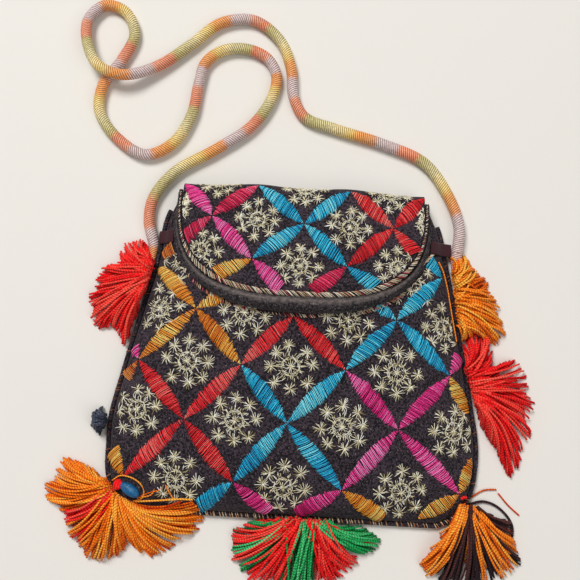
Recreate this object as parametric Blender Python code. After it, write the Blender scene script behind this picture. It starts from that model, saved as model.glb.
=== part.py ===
"""Embroidered crossbody satchel lying on its back, built from real sizes in metres.

The back panel's outer face lies on z = 0 with its middle at the origin, +Y points to the flap's fold
and the strap, and +Z points out of the front.
"""
import math

import bpy
import numpy as np
from mathutils import Vector
from mathutils.geometry import delaunay_2d_cdt

MM = 0.001
GAP = 0.3 * MM

# Body outline: half of the front seen from above, as (y, x) from the bottom corner to the mouth
LEFT_SIDE = [(-93.5, -88.0), (-88.0, -98.5), (-76.0, -104.5), (-58.0, -106.0), (-42.0, -106.0),
             (-18.0, -101.5), (2.0, -97.5), (26.0, -92.0), (48.0, -87.0), (66.0, -84.5),
             (80.0, -82.5), (92.0, -78.0)]
RIGHT_SIDE = [(-93.5, 87.0), (-88.5, 97.0), (-76.0, 105.5), (-60.0, 108.5), (-46.0, 108.5),
              (-20.0, 104.0), (0.0, 100.5), (24.0, 95.5), (45.0, 91.5), (66.0, 87.0),
              (80.0, 84.0), (92.0, 79.0)]
BOTTOM_Y = -93.5 * MM
MOUTH_Y = 92.0 * MM

# Cloth thicknesses and the pillow shape of the stuffed front
BACK_THICK = 2.0 * MM
FRONT_THICK = 2.2 * MM
LINING_THICK = 0.8 * MM
LINING_GAP = 0.6 * MM
LINING_INSET = 4.0 * MM
FRONT_RISE = 24.0 * MM
FULLEST_Y = -10.0 * MM
MOUTH_DROP = 0.55
PILLOW_POWER = 2.6
PILLOW_ROUND = 0.6

# Flap: a half superellipse hanging from the fold, with its edge trims
FOLD_Y = 97.0 * MM
BACK_TOP_Y = FOLD_Y - GAP
FOLD_BULGE = 6.0 * MM
FOLD_WRAP = 24.0 * MM
FOLD_STEPS = 5
FLAP_HALF_WIDTH = 77.0 * MM
FLAP_DROP = 65.5 * MM
FLAP_POWER = 2.8
FLAP_THICK = 2.0 * MM
FLAP_CLEARANCE = 3.0 * MM
OVERCAST_RADIUS = 1.3 * MM
ROLL_RADIUS_BOTTOM = 4.6 * MM
ROLL_RADIUS_TOP = 1.4 * MM
ROLL_POWER = 4.0
TRIM_RADIUS = 1.1 * MM
TRIM_REACH_X = 66.0 * MM

PIPING_RADIUS = 1.5 * MM
PIPING_TOP_Y = 88.0 * MM
BINDING_RADIUS = 1.3 * MM

# Spacing of the mesh points along the seam, inside the panels and in the ring by the rim
SEAM_STEP = 9.5 * MM
FILL_STEP = 23.0 * MM
FLAP_FILL_STEP = 15.0 * MM
PLATE_STEP = 14.0 * MM
ROW_INSET = 15.0 * MM
RING_INSET = 10.0 * MM

# Embroidery in relief
PETAL_HALF_WIDTH = 4.4 * MM
PETAL_HEIGHT = 1.3 * MM
PETAL_TIP_GAP = 1.2 * MM
STAR_RING_RADIUS = 5.0 * MM
STAR_SMALL_ORBIT = 12.0 * MM
STAR_SMALL_REACH = 4.2 * MM
STAR_HEIGHT = 0.9 * MM
FLAP_STAR_SCALE = 0.88
EDGE_ROOM = 1.5 * MM
FILL_ROOM = 2.5 * MM

SNAP_ABOVE_EDGE = 15.5 * MM
SNAP_Y = FOLD_Y - FLAP_DROP + SNAP_ABOVE_EDGE
SNAP_RADIUS = 7.0 * MM
STUD_THICK = 1.0 * MM
SOCKET_THICK = 0.8 * MM
POST_RADIUS = 1.8 * MM
POST_HEIGHT = 0.7 * MM

POCKET_HALF_WIDTH = 62.0 * MM
POCKET_BOTTOM_Y = -50.0 * MM
POCKET_TOP_Y = 48.0 * MM

STRAP_RADIUS = 3.5 * MM
ROPE_TIP_RADIUS = 1.5 * MM
ROPE_TIP_Y = 53.0 * MM
TAB_WIDTH = 8.0 * MM
TAB_THICK = 0.8 * MM
TAB_RISE = 1.5 * MM
TAB_CLEARANCE = 0.8 * MM

HEAD_RADIUS = 2.8 * MM
HEAD_HEIGHT = 5.2 * MM
SKIRT_THICK = 6.0 * MM
FLOOR_LIFT = 0.2 * MM

# Free rope from the left end to the right end, where the picture shows it, centre line
STRAP_ROUTE = [
    (-0.0920, 0.0665, 0.0036), (-0.0953, 0.0780, 0.0036), (-0.0940, 0.0930, 0.0036),
    (-0.0820, 0.1108, 0.0036), (-0.0580, 0.1268, 0.0036), (-0.0355, 0.1445, 0.0036),
    (-0.0240, 0.1640, 0.0036), (-0.0220, 0.1785, 0.0036), (-0.0285, 0.1905, 0.0036),
    (-0.0420, 0.1962, 0.0036), (-0.0570, 0.1945, 0.0036), (-0.0680, 0.1855, 0.0036),
    (-0.0715, 0.1700, 0.0036), (-0.0745, 0.1490, 0.0036), (-0.0850, 0.1295, 0.0036),
    (-0.1015, 0.1212, 0.0036), (-0.1205, 0.1313, 0.0036), (-0.1330, 0.1480, 0.0036),
    (-0.1325, 0.1660, 0.0036), (-0.1220, 0.1840, 0.0036), (-0.1155, 0.2020, 0.0036),
    (-0.1230, 0.2175, 0.0036), (-0.1365, 0.2210, 0.0038), (-0.1460, 0.2100, 0.0048),
    (-0.1440, 0.1915, 0.0080), (-0.1345, 0.1755, 0.0110), (-0.1190, 0.1712, 0.0096),
    (-0.0985, 0.1805, 0.0050), (-0.0780, 0.1975, 0.0037), (-0.0600, 0.2135, 0.0036),
    (-0.0390, 0.2165, 0.0036), (-0.0215, 0.2040, 0.0036), (-0.0130, 0.1850, 0.0036),
    (-0.0105, 0.1665, 0.0036), (-0.0025, 0.1522, 0.0036), (0.0165, 0.1455, 0.0036),
    (0.0475, 0.1372, 0.0036), (0.0745, 0.1262, 0.0036), (0.0895, 0.1070, 0.0036),
    (0.0975, 0.0860, 0.0036), (0.0965, 0.0685, 0.0036)]
STRAP_POINT_COUNT = 72

# Where the petals' rows meet, seen from above: front nodes by row letter and flap nodes
FRONT_NODES = {
    "b0": (-84.0, 50.0), "b3": (85.0, 51.0),
    "c1": (-60.0, 22.5), "c2": (-2.6, 20.5), "c3": (58.0, 22.0),
    "d0": (-92.5, -8.7), "d1": (-31.0, -9.5), "d2": (29.2, -9.2), "d3": (91.5, -8.0),
    "e1": (-62.0, -42.0), "e2": (-2.8, -41.0), "e3": (61.0, -41.2),
    "f0": (-96.0, -77.0), "f1": (-31.7, -75.8), "f2": (30.5, -77.0), "f3": (100.0, -76.0),
    "g0": (-50.0, -90.5), "g1": (-11.0, -91.5), "g2": (6.5, -91.5), "g3": (55.0, -91.5),
    "g4": (79.0, -90.5), "a1": (-41.0, 33.0), "a4": (45.0, 31.5), "h0": (-101.5, -24.0),
    "h3": (103.5, -32.0), "h4": (106.0, -53.0), "i0": (-101.0, -57.0), "k3": (95.5, 7.0)}
FRONT_PETALS = [
    ("b0", "c1", "gold"), ("c1", "a1", "gold"), ("c1", "d0", "gold"), ("c1", "d1", "gold"),
    ("d0", "h0", "rust"), ("d0", "e1", "red"), ("e1", "d1", "red"), ("e1", "f0", "red"),
    ("e1", "f1", "red"), ("d1", "c2", "red"), ("c2", "d2", "red"), ("d1", "e2", "blue"),
    ("e2", "d2", "blue"), ("e2", "f1", "blue"), ("e2", "f2", "blue"), ("d2", "c3", "blue"),
    ("c3", "a4", "blue"), ("c3", "b3", "blue"), ("c3", "d3", "blue"), ("d2", "e3", "magenta"),
    ("e3", "d3", "magenta"), ("e3", "f2", "magenta"), ("e3", "f3", "magenta"),
    ("d3", "k3", "magenta"), ("d3", "h3", "gold"), ("f0", "i0", "rust"), ("f1", "g0", "blue"),
    ("f1", "g1", "magenta"), ("f2", "g2", "magenta"), ("f2", "g3", "gold"),
    ("f3", "g4", "gold"), ("f3", "h4", "gold")]
FRONT_STARS = [
    (-2.5, -9.3), (-31.0, 20.5), (29.0, 20.0), (58.5, -9.0), (28.5, -41.5), (91.0, -42.0),
    (-3.0, -77.0), (64.0, -79.5), (-32.5, -41.0), (87.5, 20.0), (67.0, 45.0), (-62.0, -9.0),
    (-90.0, -38.0), (-82.0, 22.0), (-70.0, 52.0), (-64.5, -76.0)]
FLAP_NODES = {
    "a1": (-54.6, 79.0), "a2": (0.8, 76.0), "a3": (54.5, 77.4),
    "b1": (-28.7, 52.6), "b2": (27.1, 51.0),
    "t0": (-70.5, 100.0), "t1": (-28.0, 101.0), "t2": (28.0, 100.0), "t3": (71.0, 99.5),
    "s0": (-70.0, 65.5), "s3": (69.5, 62.0),
    "u1": (-47.0, 43.5), "u2": (-12.0, 36.5), "u3": (10.0, 36.5), "u4": (41.5, 42.0)}
FLAP_PETALS = [
    ("a1", "t0", "magenta"), ("a1", "t1", "magenta"), ("a1", "s0", "magenta"),
    ("a1", "b1", "magenta"), ("a2", "t1", "blue"), ("a2", "t2", "blue"), ("a2", "b1", "blue"),
    ("a2", "b2", "blue"), ("a3", "t2", "red"), ("a3", "t3", "red"), ("a3", "b2", "red"),
    ("a3", "s3", "red"), ("b1", "u1", "gold"), ("b1", "u2", "magenta"),
    ("b2", "u3", "magenta"), ("b2", "u4", "blue")]
FLAP_STARS = [(-27.0, 77.5), (28.0, 75.5), (-58.0, 58.5), (-0.5, 49.5), (56.0, 52.5),
              (-70.0, 85.0), (72.0, 81.0), (-52.0, 104.0), (0.5, 100.0), (52.0, 100.0)]

# Tassels: rough root seen from above, then each bundle's colour and reach as (degrees, mm)
TASSELS = {
    "left_upper": ((-94.0, 41.0), [
        ("red", [(104, 25), (125, 27), (168, 28), (197, 34), (229, 41), (247, 36)])]),
    "right_upper": ((97.0, 42.0), [
        ("orange", [(76, 22), (30, 20), (-7, 26), (-36, 32), (-44, 31)])]),
    "right_middle": ((108.0, -14.0), [
        ("red", [(98, 31), (77, 31), (38, 31), (-5, 36), (-39, 44), (-66, 54)])]),
    "left_lower": ((-95.5, -92.5), [
        ("orange", [(142, 40), (163, 43), (173, 42), (181, 31), (196, 29)]),
        ("orange", [(197, 29), (221, 30), (240, 31), (264, 28), (285, 27)]),
        ("orange", [(286, 26), (305, 24), (314, 33), (332, 38), (350, 50)])]),
    "bottom": ((5.5, -97.0), [
        ("green", [(190, 36), (212, 42), (226, 42)]),
        ("red", [(227, 42), (248, 40), (262, 38)]),
        ("green", [(263, 38), (285, 38), (300, 38)]),
        ("red", [(301, 38), (330, 42), (350, 50)])]),
    "right_lower": ((104.0, -87.0), [
        ("orange", [(224, 40), (238, 41), (250, 40)]),
        ("black", [(251, 40), (268, 41), (284, 39)]),
        ("orange", [(285, 39), (305, 40), (322, 38)])]),
    "left_middle": ((-109.0, -45.0), [
        ("navy", [(125, 10), (180, 12), (235, 10)])])}

COLOURS = {
    "black_felt": (0.030, 0.028, 0.034), "lining_cloth": (0.060, 0.055, 0.065),
    "gold_thread": (0.640, 0.540, 0.330), "rope_thread": (0.720, 0.560, 0.340),
    "maroon_cloth": (0.180, 0.020, 0.040), "snap_brass": (0.600, 0.440, 0.200),
    "red": (0.720, 0.030, 0.030), "orange": (0.800, 0.270, 0.030), "green": (0.040, 0.420, 0.130),
    "gold": (0.760, 0.420, 0.050), "rust": (0.560, 0.180, 0.030), "blue": (0.020, 0.370, 0.640),
    "magenta": (0.680, 0.030, 0.330),
    "black": (0.030, 0.025, 0.030), "navy": (0.030, 0.045, 0.090)}


def clear_scene():
    """Remove the start-up objects."""
    for item in list(bpy.data.objects):
        bpy.data.objects.remove(item, do_unlink=True)


def material(key):
    """A Principled material for each colour, metallic only on the snap."""
    made = bpy.data.materials.get(key)
    if made:
        return made
    made = bpy.data.materials.new(key)
    made.use_nodes = True
    shader = made.node_tree.nodes["Principled BSDF"]
    shader.inputs["Base Color"].default_value = (*COLOURS[key], 1.0)
    shader.inputs["Roughness"].default_value = 0.3 if key == "snap_brass" else 0.85
    shader.inputs["Metallic"].default_value = 1.0 if key == "snap_brass" else 0.0
    return made


def add_mesh(name, verts, faces, colour, smooth_angle=40.0, face_colours=()):
    """Make an object of a closed mesh, its first faces in their own colours where given."""
    mesh = bpy.data.meshes.new(name)
    mesh.from_pydata([tuple(map(float, v)) for v in verts], [], [tuple(f) for f in faces])
    keys = [colour] + sorted(set(face_colours) - {colour})
    for key in keys:
        mesh.materials.append(material(key))
    for polygon, key in zip(mesh.polygons, face_colours):
        polygon.material_index = keys.index(key)
    mesh.shade_smooth()
    mesh.set_sharp_from_angle(angle=math.radians(smooth_angle))
    made = bpy.data.objects.new(name, mesh)
    bpy.context.scene.collection.objects.link(made)
    return made


def smooth_line(points, count):
    """Points at even spacing on a centripetal Catmull-Rom curve through the given points."""
    given = np.array(points, dtype=float)
    ends = np.vstack([2 * given[0] - given[1], given, 2 * given[-1] - given[-2]])
    dense = []
    for p0, p1, p2, p3 in zip(ends[:-3], ends[1:-2], ends[2:-1], ends[3:]):
        knots = [0.0]
        for a, b in ((p0, p1), (p1, p2), (p2, p3)):
            knots.append(knots[-1] + math.sqrt(np.linalg.norm(b - a)))
        t0, t1, t2, t3 = knots
        t = np.linspace(t1, t2, 16, endpoint=False)[:, None]
        a1 = (t1 - t) / (t1 - t0) * p0 + (t - t0) / (t1 - t0) * p1
        a2 = (t2 - t) / (t2 - t1) * p1 + (t - t1) / (t2 - t1) * p2
        a3 = (t3 - t) / (t3 - t2) * p2 + (t - t2) / (t3 - t2) * p3
        b1 = (t2 - t) / (t2 - t0) * a1 + (t - t0) / (t2 - t0) * a2
        b2 = (t3 - t) / (t3 - t1) * a2 + (t - t1) / (t3 - t1) * a3
        dense.append((t2 - t) / (t2 - t1) * b1 + (t - t1) / (t2 - t1) * b2)
    return even_points(np.vstack(dense + [given[-1:]]), count)


def even_points(line, count):
    """Read count points at even distances along a polyline."""
    step = np.linalg.norm(np.diff(line, axis=0), axis=1)
    along = np.concatenate([[0.0], np.cumsum(step)])
    wanted = np.linspace(0.0, along[-1], count)
    return np.stack([np.interp(wanted, along, line[:, k]) for k in range(line.shape[1])], axis=1)


SMOOTH_LEFT = smooth_line(LEFT_SIDE, 60) * MM
SMOOTH_RIGHT = smooth_line(RIGHT_SIDE, 60) * MM


def side_x(y, side):
    """Where the body's seam lies at a height y, on the left (-1) or the right (1)."""
    line = SMOOTH_LEFT if side < 0 else SMOOTH_RIGHT
    return np.interp(y, line[:, 0], line[:, 1])


def front_height(x, y):
    """Height of the stuffed front above the floor: a pillow that flattens towards the mouth."""
    x = np.asarray(x, dtype=float)
    y = np.asarray(y, dtype=float)
    rim = BACK_THICK + GAP + FRONT_THICK
    left = side_x(y, -1)
    right = side_x(y, 1)
    across = np.abs(2 * x - left - right) / (right - left)
    below = np.clip((FULLEST_Y - y) / (FULLEST_Y - BOTTOM_Y), 0.0, 1.0)
    above = np.clip((y - FULLEST_Y) / (FOLD_Y - FULLEST_Y), 0.0, 1.0)
    side_part = (1 - np.clip(across, 0.0, 1.0) ** PILLOW_POWER) ** PILLOW_ROUND
    low_part = (1 - below ** PILLOW_POWER) ** PILLOW_ROUND
    return rim + FRONT_RISE * side_part * low_part * (1 - MOUTH_DROP * above ** 2)


def front_place(x, y, depth):
    """A point under the front's outer face."""
    return np.stack([x, y, front_height(x, y) - depth], axis=-1)


def flap_place(x, y, depth):
    """A point under the flap's outer face; past the fold line y wraps down to the back's edge."""
    over = np.clip((y - FOLD_Y) / FOLD_WRAP, 0.0, 1.0) * math.pi
    flat_y = np.minimum(y, FOLD_Y)
    top = front_height(x, flat_y) + FLAP_CLEARANCE + LINING_THICK + LINING_GAP + FLAP_THICK
    middle = top / 2
    z = np.where(over > 0, middle + (middle - depth) * np.cos(over), top - depth)
    return np.stack([x, flat_y + (FOLD_BULGE - depth) * np.sin(over), z], axis=-1)


def body_outline(spacing, top_y):
    """Anticlockwise outline of the body from the mouth's left end down and round to its right."""
    left = SMOOTH_LEFT[::-1, ::-1]
    right = SMOOTH_RIGHT[:, ::-1]
    line = np.vstack([left, right])
    length = np.linalg.norm(np.diff(line, axis=0), axis=1).sum()
    line = even_points(line, int(length / spacing))
    if top_y > MOUTH_Y:
        line = np.vstack([[(left[0, 0], top_y)], line, [(right[-1, 0], top_y)]])
    return line


def close_top(line, spacing):
    """Add even points along the straight top edge, from the right end back to the left."""
    count = int(np.linalg.norm(line[-1] - line[0]) / spacing)
    share = np.linspace(0.0, 1.0, count + 1)[1:-1, None]
    return np.vstack([line, line[-1] + (line[0] - line[-1]) * share])


def piping_path():
    """Centre line of the piping that is sewn round the seam, seen from above."""
    edge = body_outline(SEAM_STEP, MOUTH_Y)
    path = edge + normals_2d(edge, closed=False) * (PIPING_RADIUS + GAP)
    return path[path[:, 1] < PIPING_TOP_Y]


def flap_edge(outset, count):
    """Points along the half superellipse of the flap's edge, left to right, moved out by outset."""
    angle = np.linspace(math.pi, 2 * math.pi, 400)
    c = np.cos(angle)
    s = np.sin(angle)
    x = (FLAP_HALF_WIDTH + outset) * np.sign(c) * np.abs(c) ** (2 / FLAP_POWER)
    y = FOLD_Y - (FLAP_DROP + outset) * np.abs(s) ** (2 / FLAP_POWER)
    return even_points(np.stack([x, y], axis=1), count)


def flap_loop(outset, count, wrap):
    """Anticlockwise outline of a flap layer, with side points at each step round the fold."""
    line = flap_edge(outset, count)
    steps = FOLD_Y + np.array([FOLD_WRAP * k / FOLD_STEPS for k in range(1, FOLD_STEPS)] + [wrap])
    left = np.stack([np.full(FOLD_STEPS, line[0, 0]), steps], axis=1)[::-1]
    right = np.stack([np.full(FOLD_STEPS, line[-1, 0]), steps], axis=1)
    return close_top(np.vstack([left, line, right]), 10 * MM)


def fold_rows():
    """Rows of points round the fold, the same for each layer, so that all bend in even steps."""
    half = FLAP_HALF_WIDTH - ROW_INSET
    x = np.linspace(-half, half, 12)
    rows = [np.stack([x, np.full_like(x, FOLD_Y + FOLD_WRAP * k / FOLD_STEPS)], axis=1)
            for k in range(FOLD_STEPS)]
    return np.vstack(rows)


def normals_2d(loop, closed=True):
    """Outward normals of an anticlockwise loop or line."""
    if closed:
        run = np.roll(loop, -1, axis=0) - np.roll(loop, 1, axis=0)
    else:
        run = np.gradient(loop, axis=0)
    run = run / np.linalg.norm(run, axis=1)[:, None]
    return np.stack([run[:, 1], -run[:, 0]], axis=1)


def inset_loop(loop, distance):
    """Move an anticlockwise loop inwards."""
    return loop - normals_2d(loop) * distance


def is_inside(points, loop):
    """Even-odd test of points against a closed loop."""
    x = points[:, :1]
    y = points[:, 1:2]
    x1, y1 = loop[:, 0], loop[:, 1]
    x2, y2 = np.roll(x1, -1), np.roll(y1, -1)
    crosses = (y1 > y) != (y2 > y)
    drop = np.where(y2 == y1, 1.0, y2 - y1)
    return (crosses & (x < (x2 - x1) * (y - y1) / drop + x1)).sum(axis=1) % 2 == 1


def petal(start, end, colour):
    """A leaf between two nodes: outline with a pointed tip at each end, and its raised ridge."""
    start = np.array(start) * MM
    end = np.array(end) * MM
    along = (end - start) / np.linalg.norm(end - start)
    across = np.array([-along[1], along[0]])
    start = start + along * PETAL_TIP_GAP
    end = end - along * PETAL_TIP_GAP
    share = np.array([0.2, 0.5, 0.8])
    half = PETAL_HALF_WIDTH * min(1.0, np.linalg.norm(end - start) / (5 * PETAL_HALF_WIDTH))
    width = half * np.array([0.66, 1.0, 0.66])
    ridge = start + (end - start) * share[:, None]
    right = ridge - across * width[:, None]
    left = ridge + across * width[:, None]
    loop = np.vstack([[start], right, [end], left[::-1]])
    return loop, ridge, np.array([0.7, 1.0, 0.7]) * PETAL_HEIGHT, colour


def star(centre, scale):
    """A ring with eight small four-pointed stars round it, each a loop with its raised points."""
    centre = np.array(centre) * MM
    turn = np.arange(6) / 6 * 2 * math.pi
    ring = centre + STAR_RING_RADIUS * scale * np.stack([np.cos(turn), np.sin(turn)], axis=1)
    crest = centre + (ring - centre) / 2
    parts = [(ring, crest, np.full(len(crest), STAR_HEIGHT), "gold_thread")]
    for k in range(8):
        heading = k / 8 * 2 * math.pi
        middle = centre + STAR_SMALL_ORBIT * scale * np.array([math.cos(heading), math.sin(heading)])
        point = heading + np.arange(8) / 8 * 2 * math.pi
        reach = STAR_SMALL_REACH * scale * np.where(np.arange(8) % 2 == 0, 1.0, 0.45)
        loop = middle + reach[:, None] * np.stack([np.cos(point), np.sin(point)], axis=1)
        parts.append((loop, middle[None, :], np.array([STAR_HEIGHT]), "gold_thread"))
    return parts


def triangulate(points, loops):
    """Constrained triangles inside closed index loops, in millimetres for the tolerance."""
    edges = []
    for loop in loops:
        edges += [(loop[k], loop[(k + 1) % len(loop)]) for k in range(len(loop))]
    flat = [Vector((float(p[0]) / MM, float(p[1]) / MM)) for p in points]
    verts, _, faces, origin, _, _ = delaunay_2d_cdt(flat, edges, [], 1, 1e-5)
    place = np.array([[v[0], v[1]] for v in verts]) * MM
    tris = []
    for face in faces:
        a, b, c = (place[k] for k in face)
        turn = (b[0] - a[0]) * (c[1] - a[1]) - (b[1] - a[1]) * (c[0] - a[0])
        tris.append(tuple(face) if turn > 0 else tuple(reversed(face)))
    return place, tris, origin


def filler_points(outline, rings, spacing):
    """A loose triangular grid inside an outline, clear of the outline and the rings of points."""
    clear = 0.4 * spacing
    reach = int(np.abs(outline).max() / spacing) + 2
    steps = np.arange(-reach, reach + 1)
    rows = []
    for row in steps:
        x = (steps + 0.5 * (row % 2)) * spacing
        rows.append(np.stack([x, np.full_like(x, row * spacing * 0.87)], axis=1))
    grid = np.vstack(rows)
    grid = grid[is_inside(grid, outline) & (grid[:, 1] < FOLD_Y - clear)]
    for loop in [outline] + rings:
        near = np.linalg.norm(grid[:, None] - loop[None], axis=2).min(axis=1)
        grid = grid[near > clear]
    return grid


def panel(name, outline, rings, features, place, depth_top, depth_bottom, spacing, colour):
    """A cloth panel: its top with raised features and its plain underside, closed at the edge."""
    kept = []
    for feature in features:
        room = np.linalg.norm(feature[0][:, None] - outline[None], axis=2).min()
        if is_inside(feature[0], outline).all() and room > EDGE_ROOM:
            kept.append(feature)
    loops = [feature[0] for feature in kept]
    inner = np.vstack(rings + [filler_points(outline, rings, spacing)])
    top_fill = inner
    for loop in loops:
        near = np.linalg.norm(top_fill[:, None] - loop[None], axis=2).min(axis=1)
        top_fill = top_fill[(near > FILL_ROOM) & ~is_inside(top_fill, loop)]
    points = [outline, top_fill]
    rise = [np.zeros(len(outline)), np.zeros(len(top_fill))]
    index = [list(range(len(outline)))]
    total = len(outline) + len(top_fill)
    for loop, ridge, height, _ in kept:
        index.append(list(range(total, total + len(loop))))
        points += [loop, ridge]
        rise += [np.zeros(len(loop)), height]
        total += len(loop) + len(ridge)
    points = np.vstack(points)
    rise = np.concatenate(rise)
    flat, top_faces, origin = triangulate(points, index)
    lift = np.array([max((rise[k] for k in given), default=0.0) for given in origin])
    top = place(flat[:, 0], flat[:, 1], depth_top - lift)
    lookup = {given: k for k, sources in enumerate(origin) for given in sources}
    top_edge = [lookup[k] for k in range(len(outline))]
    middles = flat[np.array(top_faces)].mean(axis=1)
    face_colours = np.full(len(top_faces), colour, dtype=object)
    for loop, _, _, key in kept:
        face_colours[is_inside(middles, loop)] = key

    plain = np.vstack([outline, inner])
    flat, bottom_faces, origin = triangulate(plain, [list(range(len(outline)))])
    bottom = place(flat[:, 0], flat[:, 1], np.full(len(flat), depth_bottom))
    lookup = {given: k for k, sources in enumerate(origin) for given in sources}
    offset = len(top)
    bottom_edge = [lookup[k] + offset for k in range(len(outline))]
    faces = list(top_faces)
    faces += [tuple(k + offset for k in reversed(face)) for face in bottom_faces]
    for k in range(len(outline)):
        after = (k + 1) % len(outline)
        faces.append((bottom_edge[k], bottom_edge[after], top_edge[after], top_edge[k]))
    return add_mesh(name, np.vstack([top, bottom]), faces, colour, 40.0, list(face_colours))


def tube(name, centres, radii, sides, colour):
    """A closed tube along a line of centres, with a flat cap at each end."""
    centres = np.asarray(centres, dtype=float)
    radii = np.broadcast_to(radii, len(centres))
    run = np.gradient(centres, axis=0)
    run /= np.linalg.norm(run, axis=1)[:, None]
    up = np.array([0.0, 0.0, 1.0])
    side = np.cross(run, up)
    side /= np.linalg.norm(side, axis=1)[:, None]
    over = np.cross(side, run)
    turn = (np.arange(sides) + 0.5) / sides * 2 * math.pi
    ring = (side[:, None] * np.cos(turn)[None, :, None] + over[:, None] * np.sin(turn)[None, :, None])
    verts = (centres[:, None] + ring * radii[:, None, None]).reshape(-1, 3)
    faces = [tuple(range(sides)), tuple(reversed(range(len(verts) - sides, len(verts))))]
    for k in range(len(centres) - 1):
        for j in range(sides):
            a = k * sides + j
            b = k * sides + (j + 1) % sides
            faces.append((a, a + sides, b + sides, b))
    return add_mesh(name, verts, faces, colour, 60.0)


def slab(name, loop, low, high, colour):
    """A flat plate with an anticlockwise outline."""
    count = len(loop)
    verts = [(*p, low) for p in loop] + [(*p, high) for p in loop]
    faces = [tuple(reversed(range(count))), tuple(range(count, 2 * count))]
    faces += [(k, (k + 1) % count, (k + 1) % count + count, k + count) for k in range(count)]
    return add_mesh(name, verts, faces, colour)


def turned(name, base, axis, profile, sides, colour):
    """A closed turned piece from (radius, height) pairs that run up the outside of its section."""
    axis = Vector(axis).normalized()
    spin = axis.to_track_quat("Z", "Y")
    verts = []
    for radius, height in profile:
        for k in range(sides):
            angle = k / sides * 2 * math.pi
            local = Vector((radius * math.cos(angle), radius * math.sin(angle), height))
            verts.append(tuple(Vector(base) + spin @ local))
    faces = []
    hollow = profile[0][0] > 0 and profile[0] == profile[-1]
    rows = len(profile) - 1 if hollow else len(profile)
    for k in range(len(profile) - 1):
        low = (k % rows) * sides
        high = ((k + 1) % rows) * sides
        for j in range(sides):
            after = (j + 1) % sides
            faces.append((low + j, low + after, high + after, high + j))
    if hollow:
        verts = verts[:rows * sides]
    else:
        faces += [tuple(reversed(range(sides))), tuple(range((rows - 1) * sides, rows * sides))]
    return add_mesh(name, verts, faces, colour, 35.0)


def surface_frame(x, y, lift):
    """A point lifted off the front along its normal, and that normal."""
    step = 1.0 * MM
    slope_x = (front_height(x + step, y) - front_height(x - step, y)) / (2 * step)
    slope_y = (front_height(x, y + step) - front_height(x, y - step)) / (2 * step)
    normal = Vector((-float(slope_x), -float(slope_y), 1.0)).normalized()
    return Vector((x, y, float(front_height(x, y)))) + normal * lift, normal


def roll_radius(y):
    """The roll is fattest at the flap's lowest point and thins towards the fold."""
    low = np.clip((FOLD_Y - y) / FLAP_DROP, 0.0, 1.0)
    return ROLL_RADIUS_TOP + (ROLL_RADIUS_BOTTOM - ROLL_RADIUS_TOP) * low ** ROLL_POWER


def resting_line(line, radius, clearance):
    """Centres of a cord that rests on the front along a line seen from above."""
    step = 1.0 * MM
    x, y = line[:, 0], line[:, 1]
    slope_x = (front_height(x + step, y) - front_height(x - step, y)) / (2 * step)
    slope_y = (front_height(x, y + step) - front_height(x, y - step)) / (2 * step)
    steep = np.sqrt(1 + slope_x ** 2 + slope_y ** 2)
    return np.stack([x, y, front_height(x, y) + (radius + clearance) * np.minimum(steep, 1.6)], axis=1)


def build_body():
    """Back panel on the floor, stuffed front panel over it, seam piping and mouth binding."""
    slab("back_panel", close_top(body_outline(SEAM_STEP, BACK_TOP_Y), PLATE_STEP), 0.0, BACK_THICK,
         "black_felt")
    outline = close_top(body_outline(SEAM_STEP, MOUTH_Y), 12 * MM)
    rings = [inset_loop(outline, LINING_INSET), inset_loop(outline, RING_INSET)[::2]]
    features = []
    under_trims = 2 * (ROLL_RADIUS_BOTTOM + TRIM_RADIUS + GAP) + EDGE_ROOM
    keep_out = close_top(flap_edge(under_trims, 60), PLATE_STEP)
    for start, end, colour in FRONT_PETALS:
        features.append(petal(FRONT_NODES[start], FRONT_NODES[end], colour))
    for centre in FRONT_STARS:
        features += star(centre, 1.0)
    features = [part for part in features if not is_inside(part[0], keep_out).any()]
    panel("front_panel", outline, rings, features, front_place, 0.0, FRONT_THICK, FILL_STEP,
          "black_felt")
    path = piping_path()
    level = np.full(len(path), BACK_THICK / 2 + PIPING_RADIUS)
    tube("edge_piping", np.column_stack([path, level]), PIPING_RADIUS, 6, "gold_thread")
    x = np.linspace(side_x(MOUTH_Y, -1) + LINING_INSET, side_x(MOUTH_Y, 1) - LINING_INSET, 11)
    y = np.full_like(x, MOUTH_Y + GAP + BINDING_RADIUS)
    z = front_height(x, np.full_like(x, MOUTH_Y)) - FRONT_THICK / 2
    tube("mouth_binding", np.stack([x, y, z], axis=1), BINDING_RADIUS, 6, "black_felt")


def build_linings():
    """Thin cloth inside: on the back, under the front, a slip pocket and the flap's lining."""
    inner = inset_loop(close_top(body_outline(PLATE_STEP, MOUTH_Y), PLATE_STEP), LINING_INSET)
    level = BACK_THICK + GAP
    slab("back_lining", inner, level, level + LINING_THICK, "lining_cloth")
    level += LINING_THICK + GAP
    pocket = np.array([(-POCKET_HALF_WIDTH, POCKET_BOTTOM_Y), (POCKET_HALF_WIDTH, POCKET_BOTTOM_Y),
                       (POCKET_HALF_WIDTH, POCKET_TOP_Y), (-POCKET_HALF_WIDTH, POCKET_TOP_Y)])
    slab("inner_pocket", pocket, level, level + LINING_THICK, "lining_cloth")
    outline = close_top(body_outline(SEAM_STEP, MOUTH_Y), 12 * MM)
    depth = FRONT_THICK + LINING_GAP
    panel("front_lining", inset_loop(outline, LINING_INSET), [inset_loop(outline, RING_INSET)[::2]],
          [], front_place, depth, depth + LINING_THICK, FILL_STEP, "lining_cloth")
    outset = -(2 * OVERCAST_RADIUS + GAP + 3 * MM)
    loop = flap_loop(outset, 30, FOLD_WRAP - 2 * LINING_THICK)
    depth = FLAP_THICK + LINING_GAP
    panel("flap_lining", loop, [fold_rows()], [], flap_place, depth, depth + LINING_THICK,
          FLAP_FILL_STEP, "lining_cloth")


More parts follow.
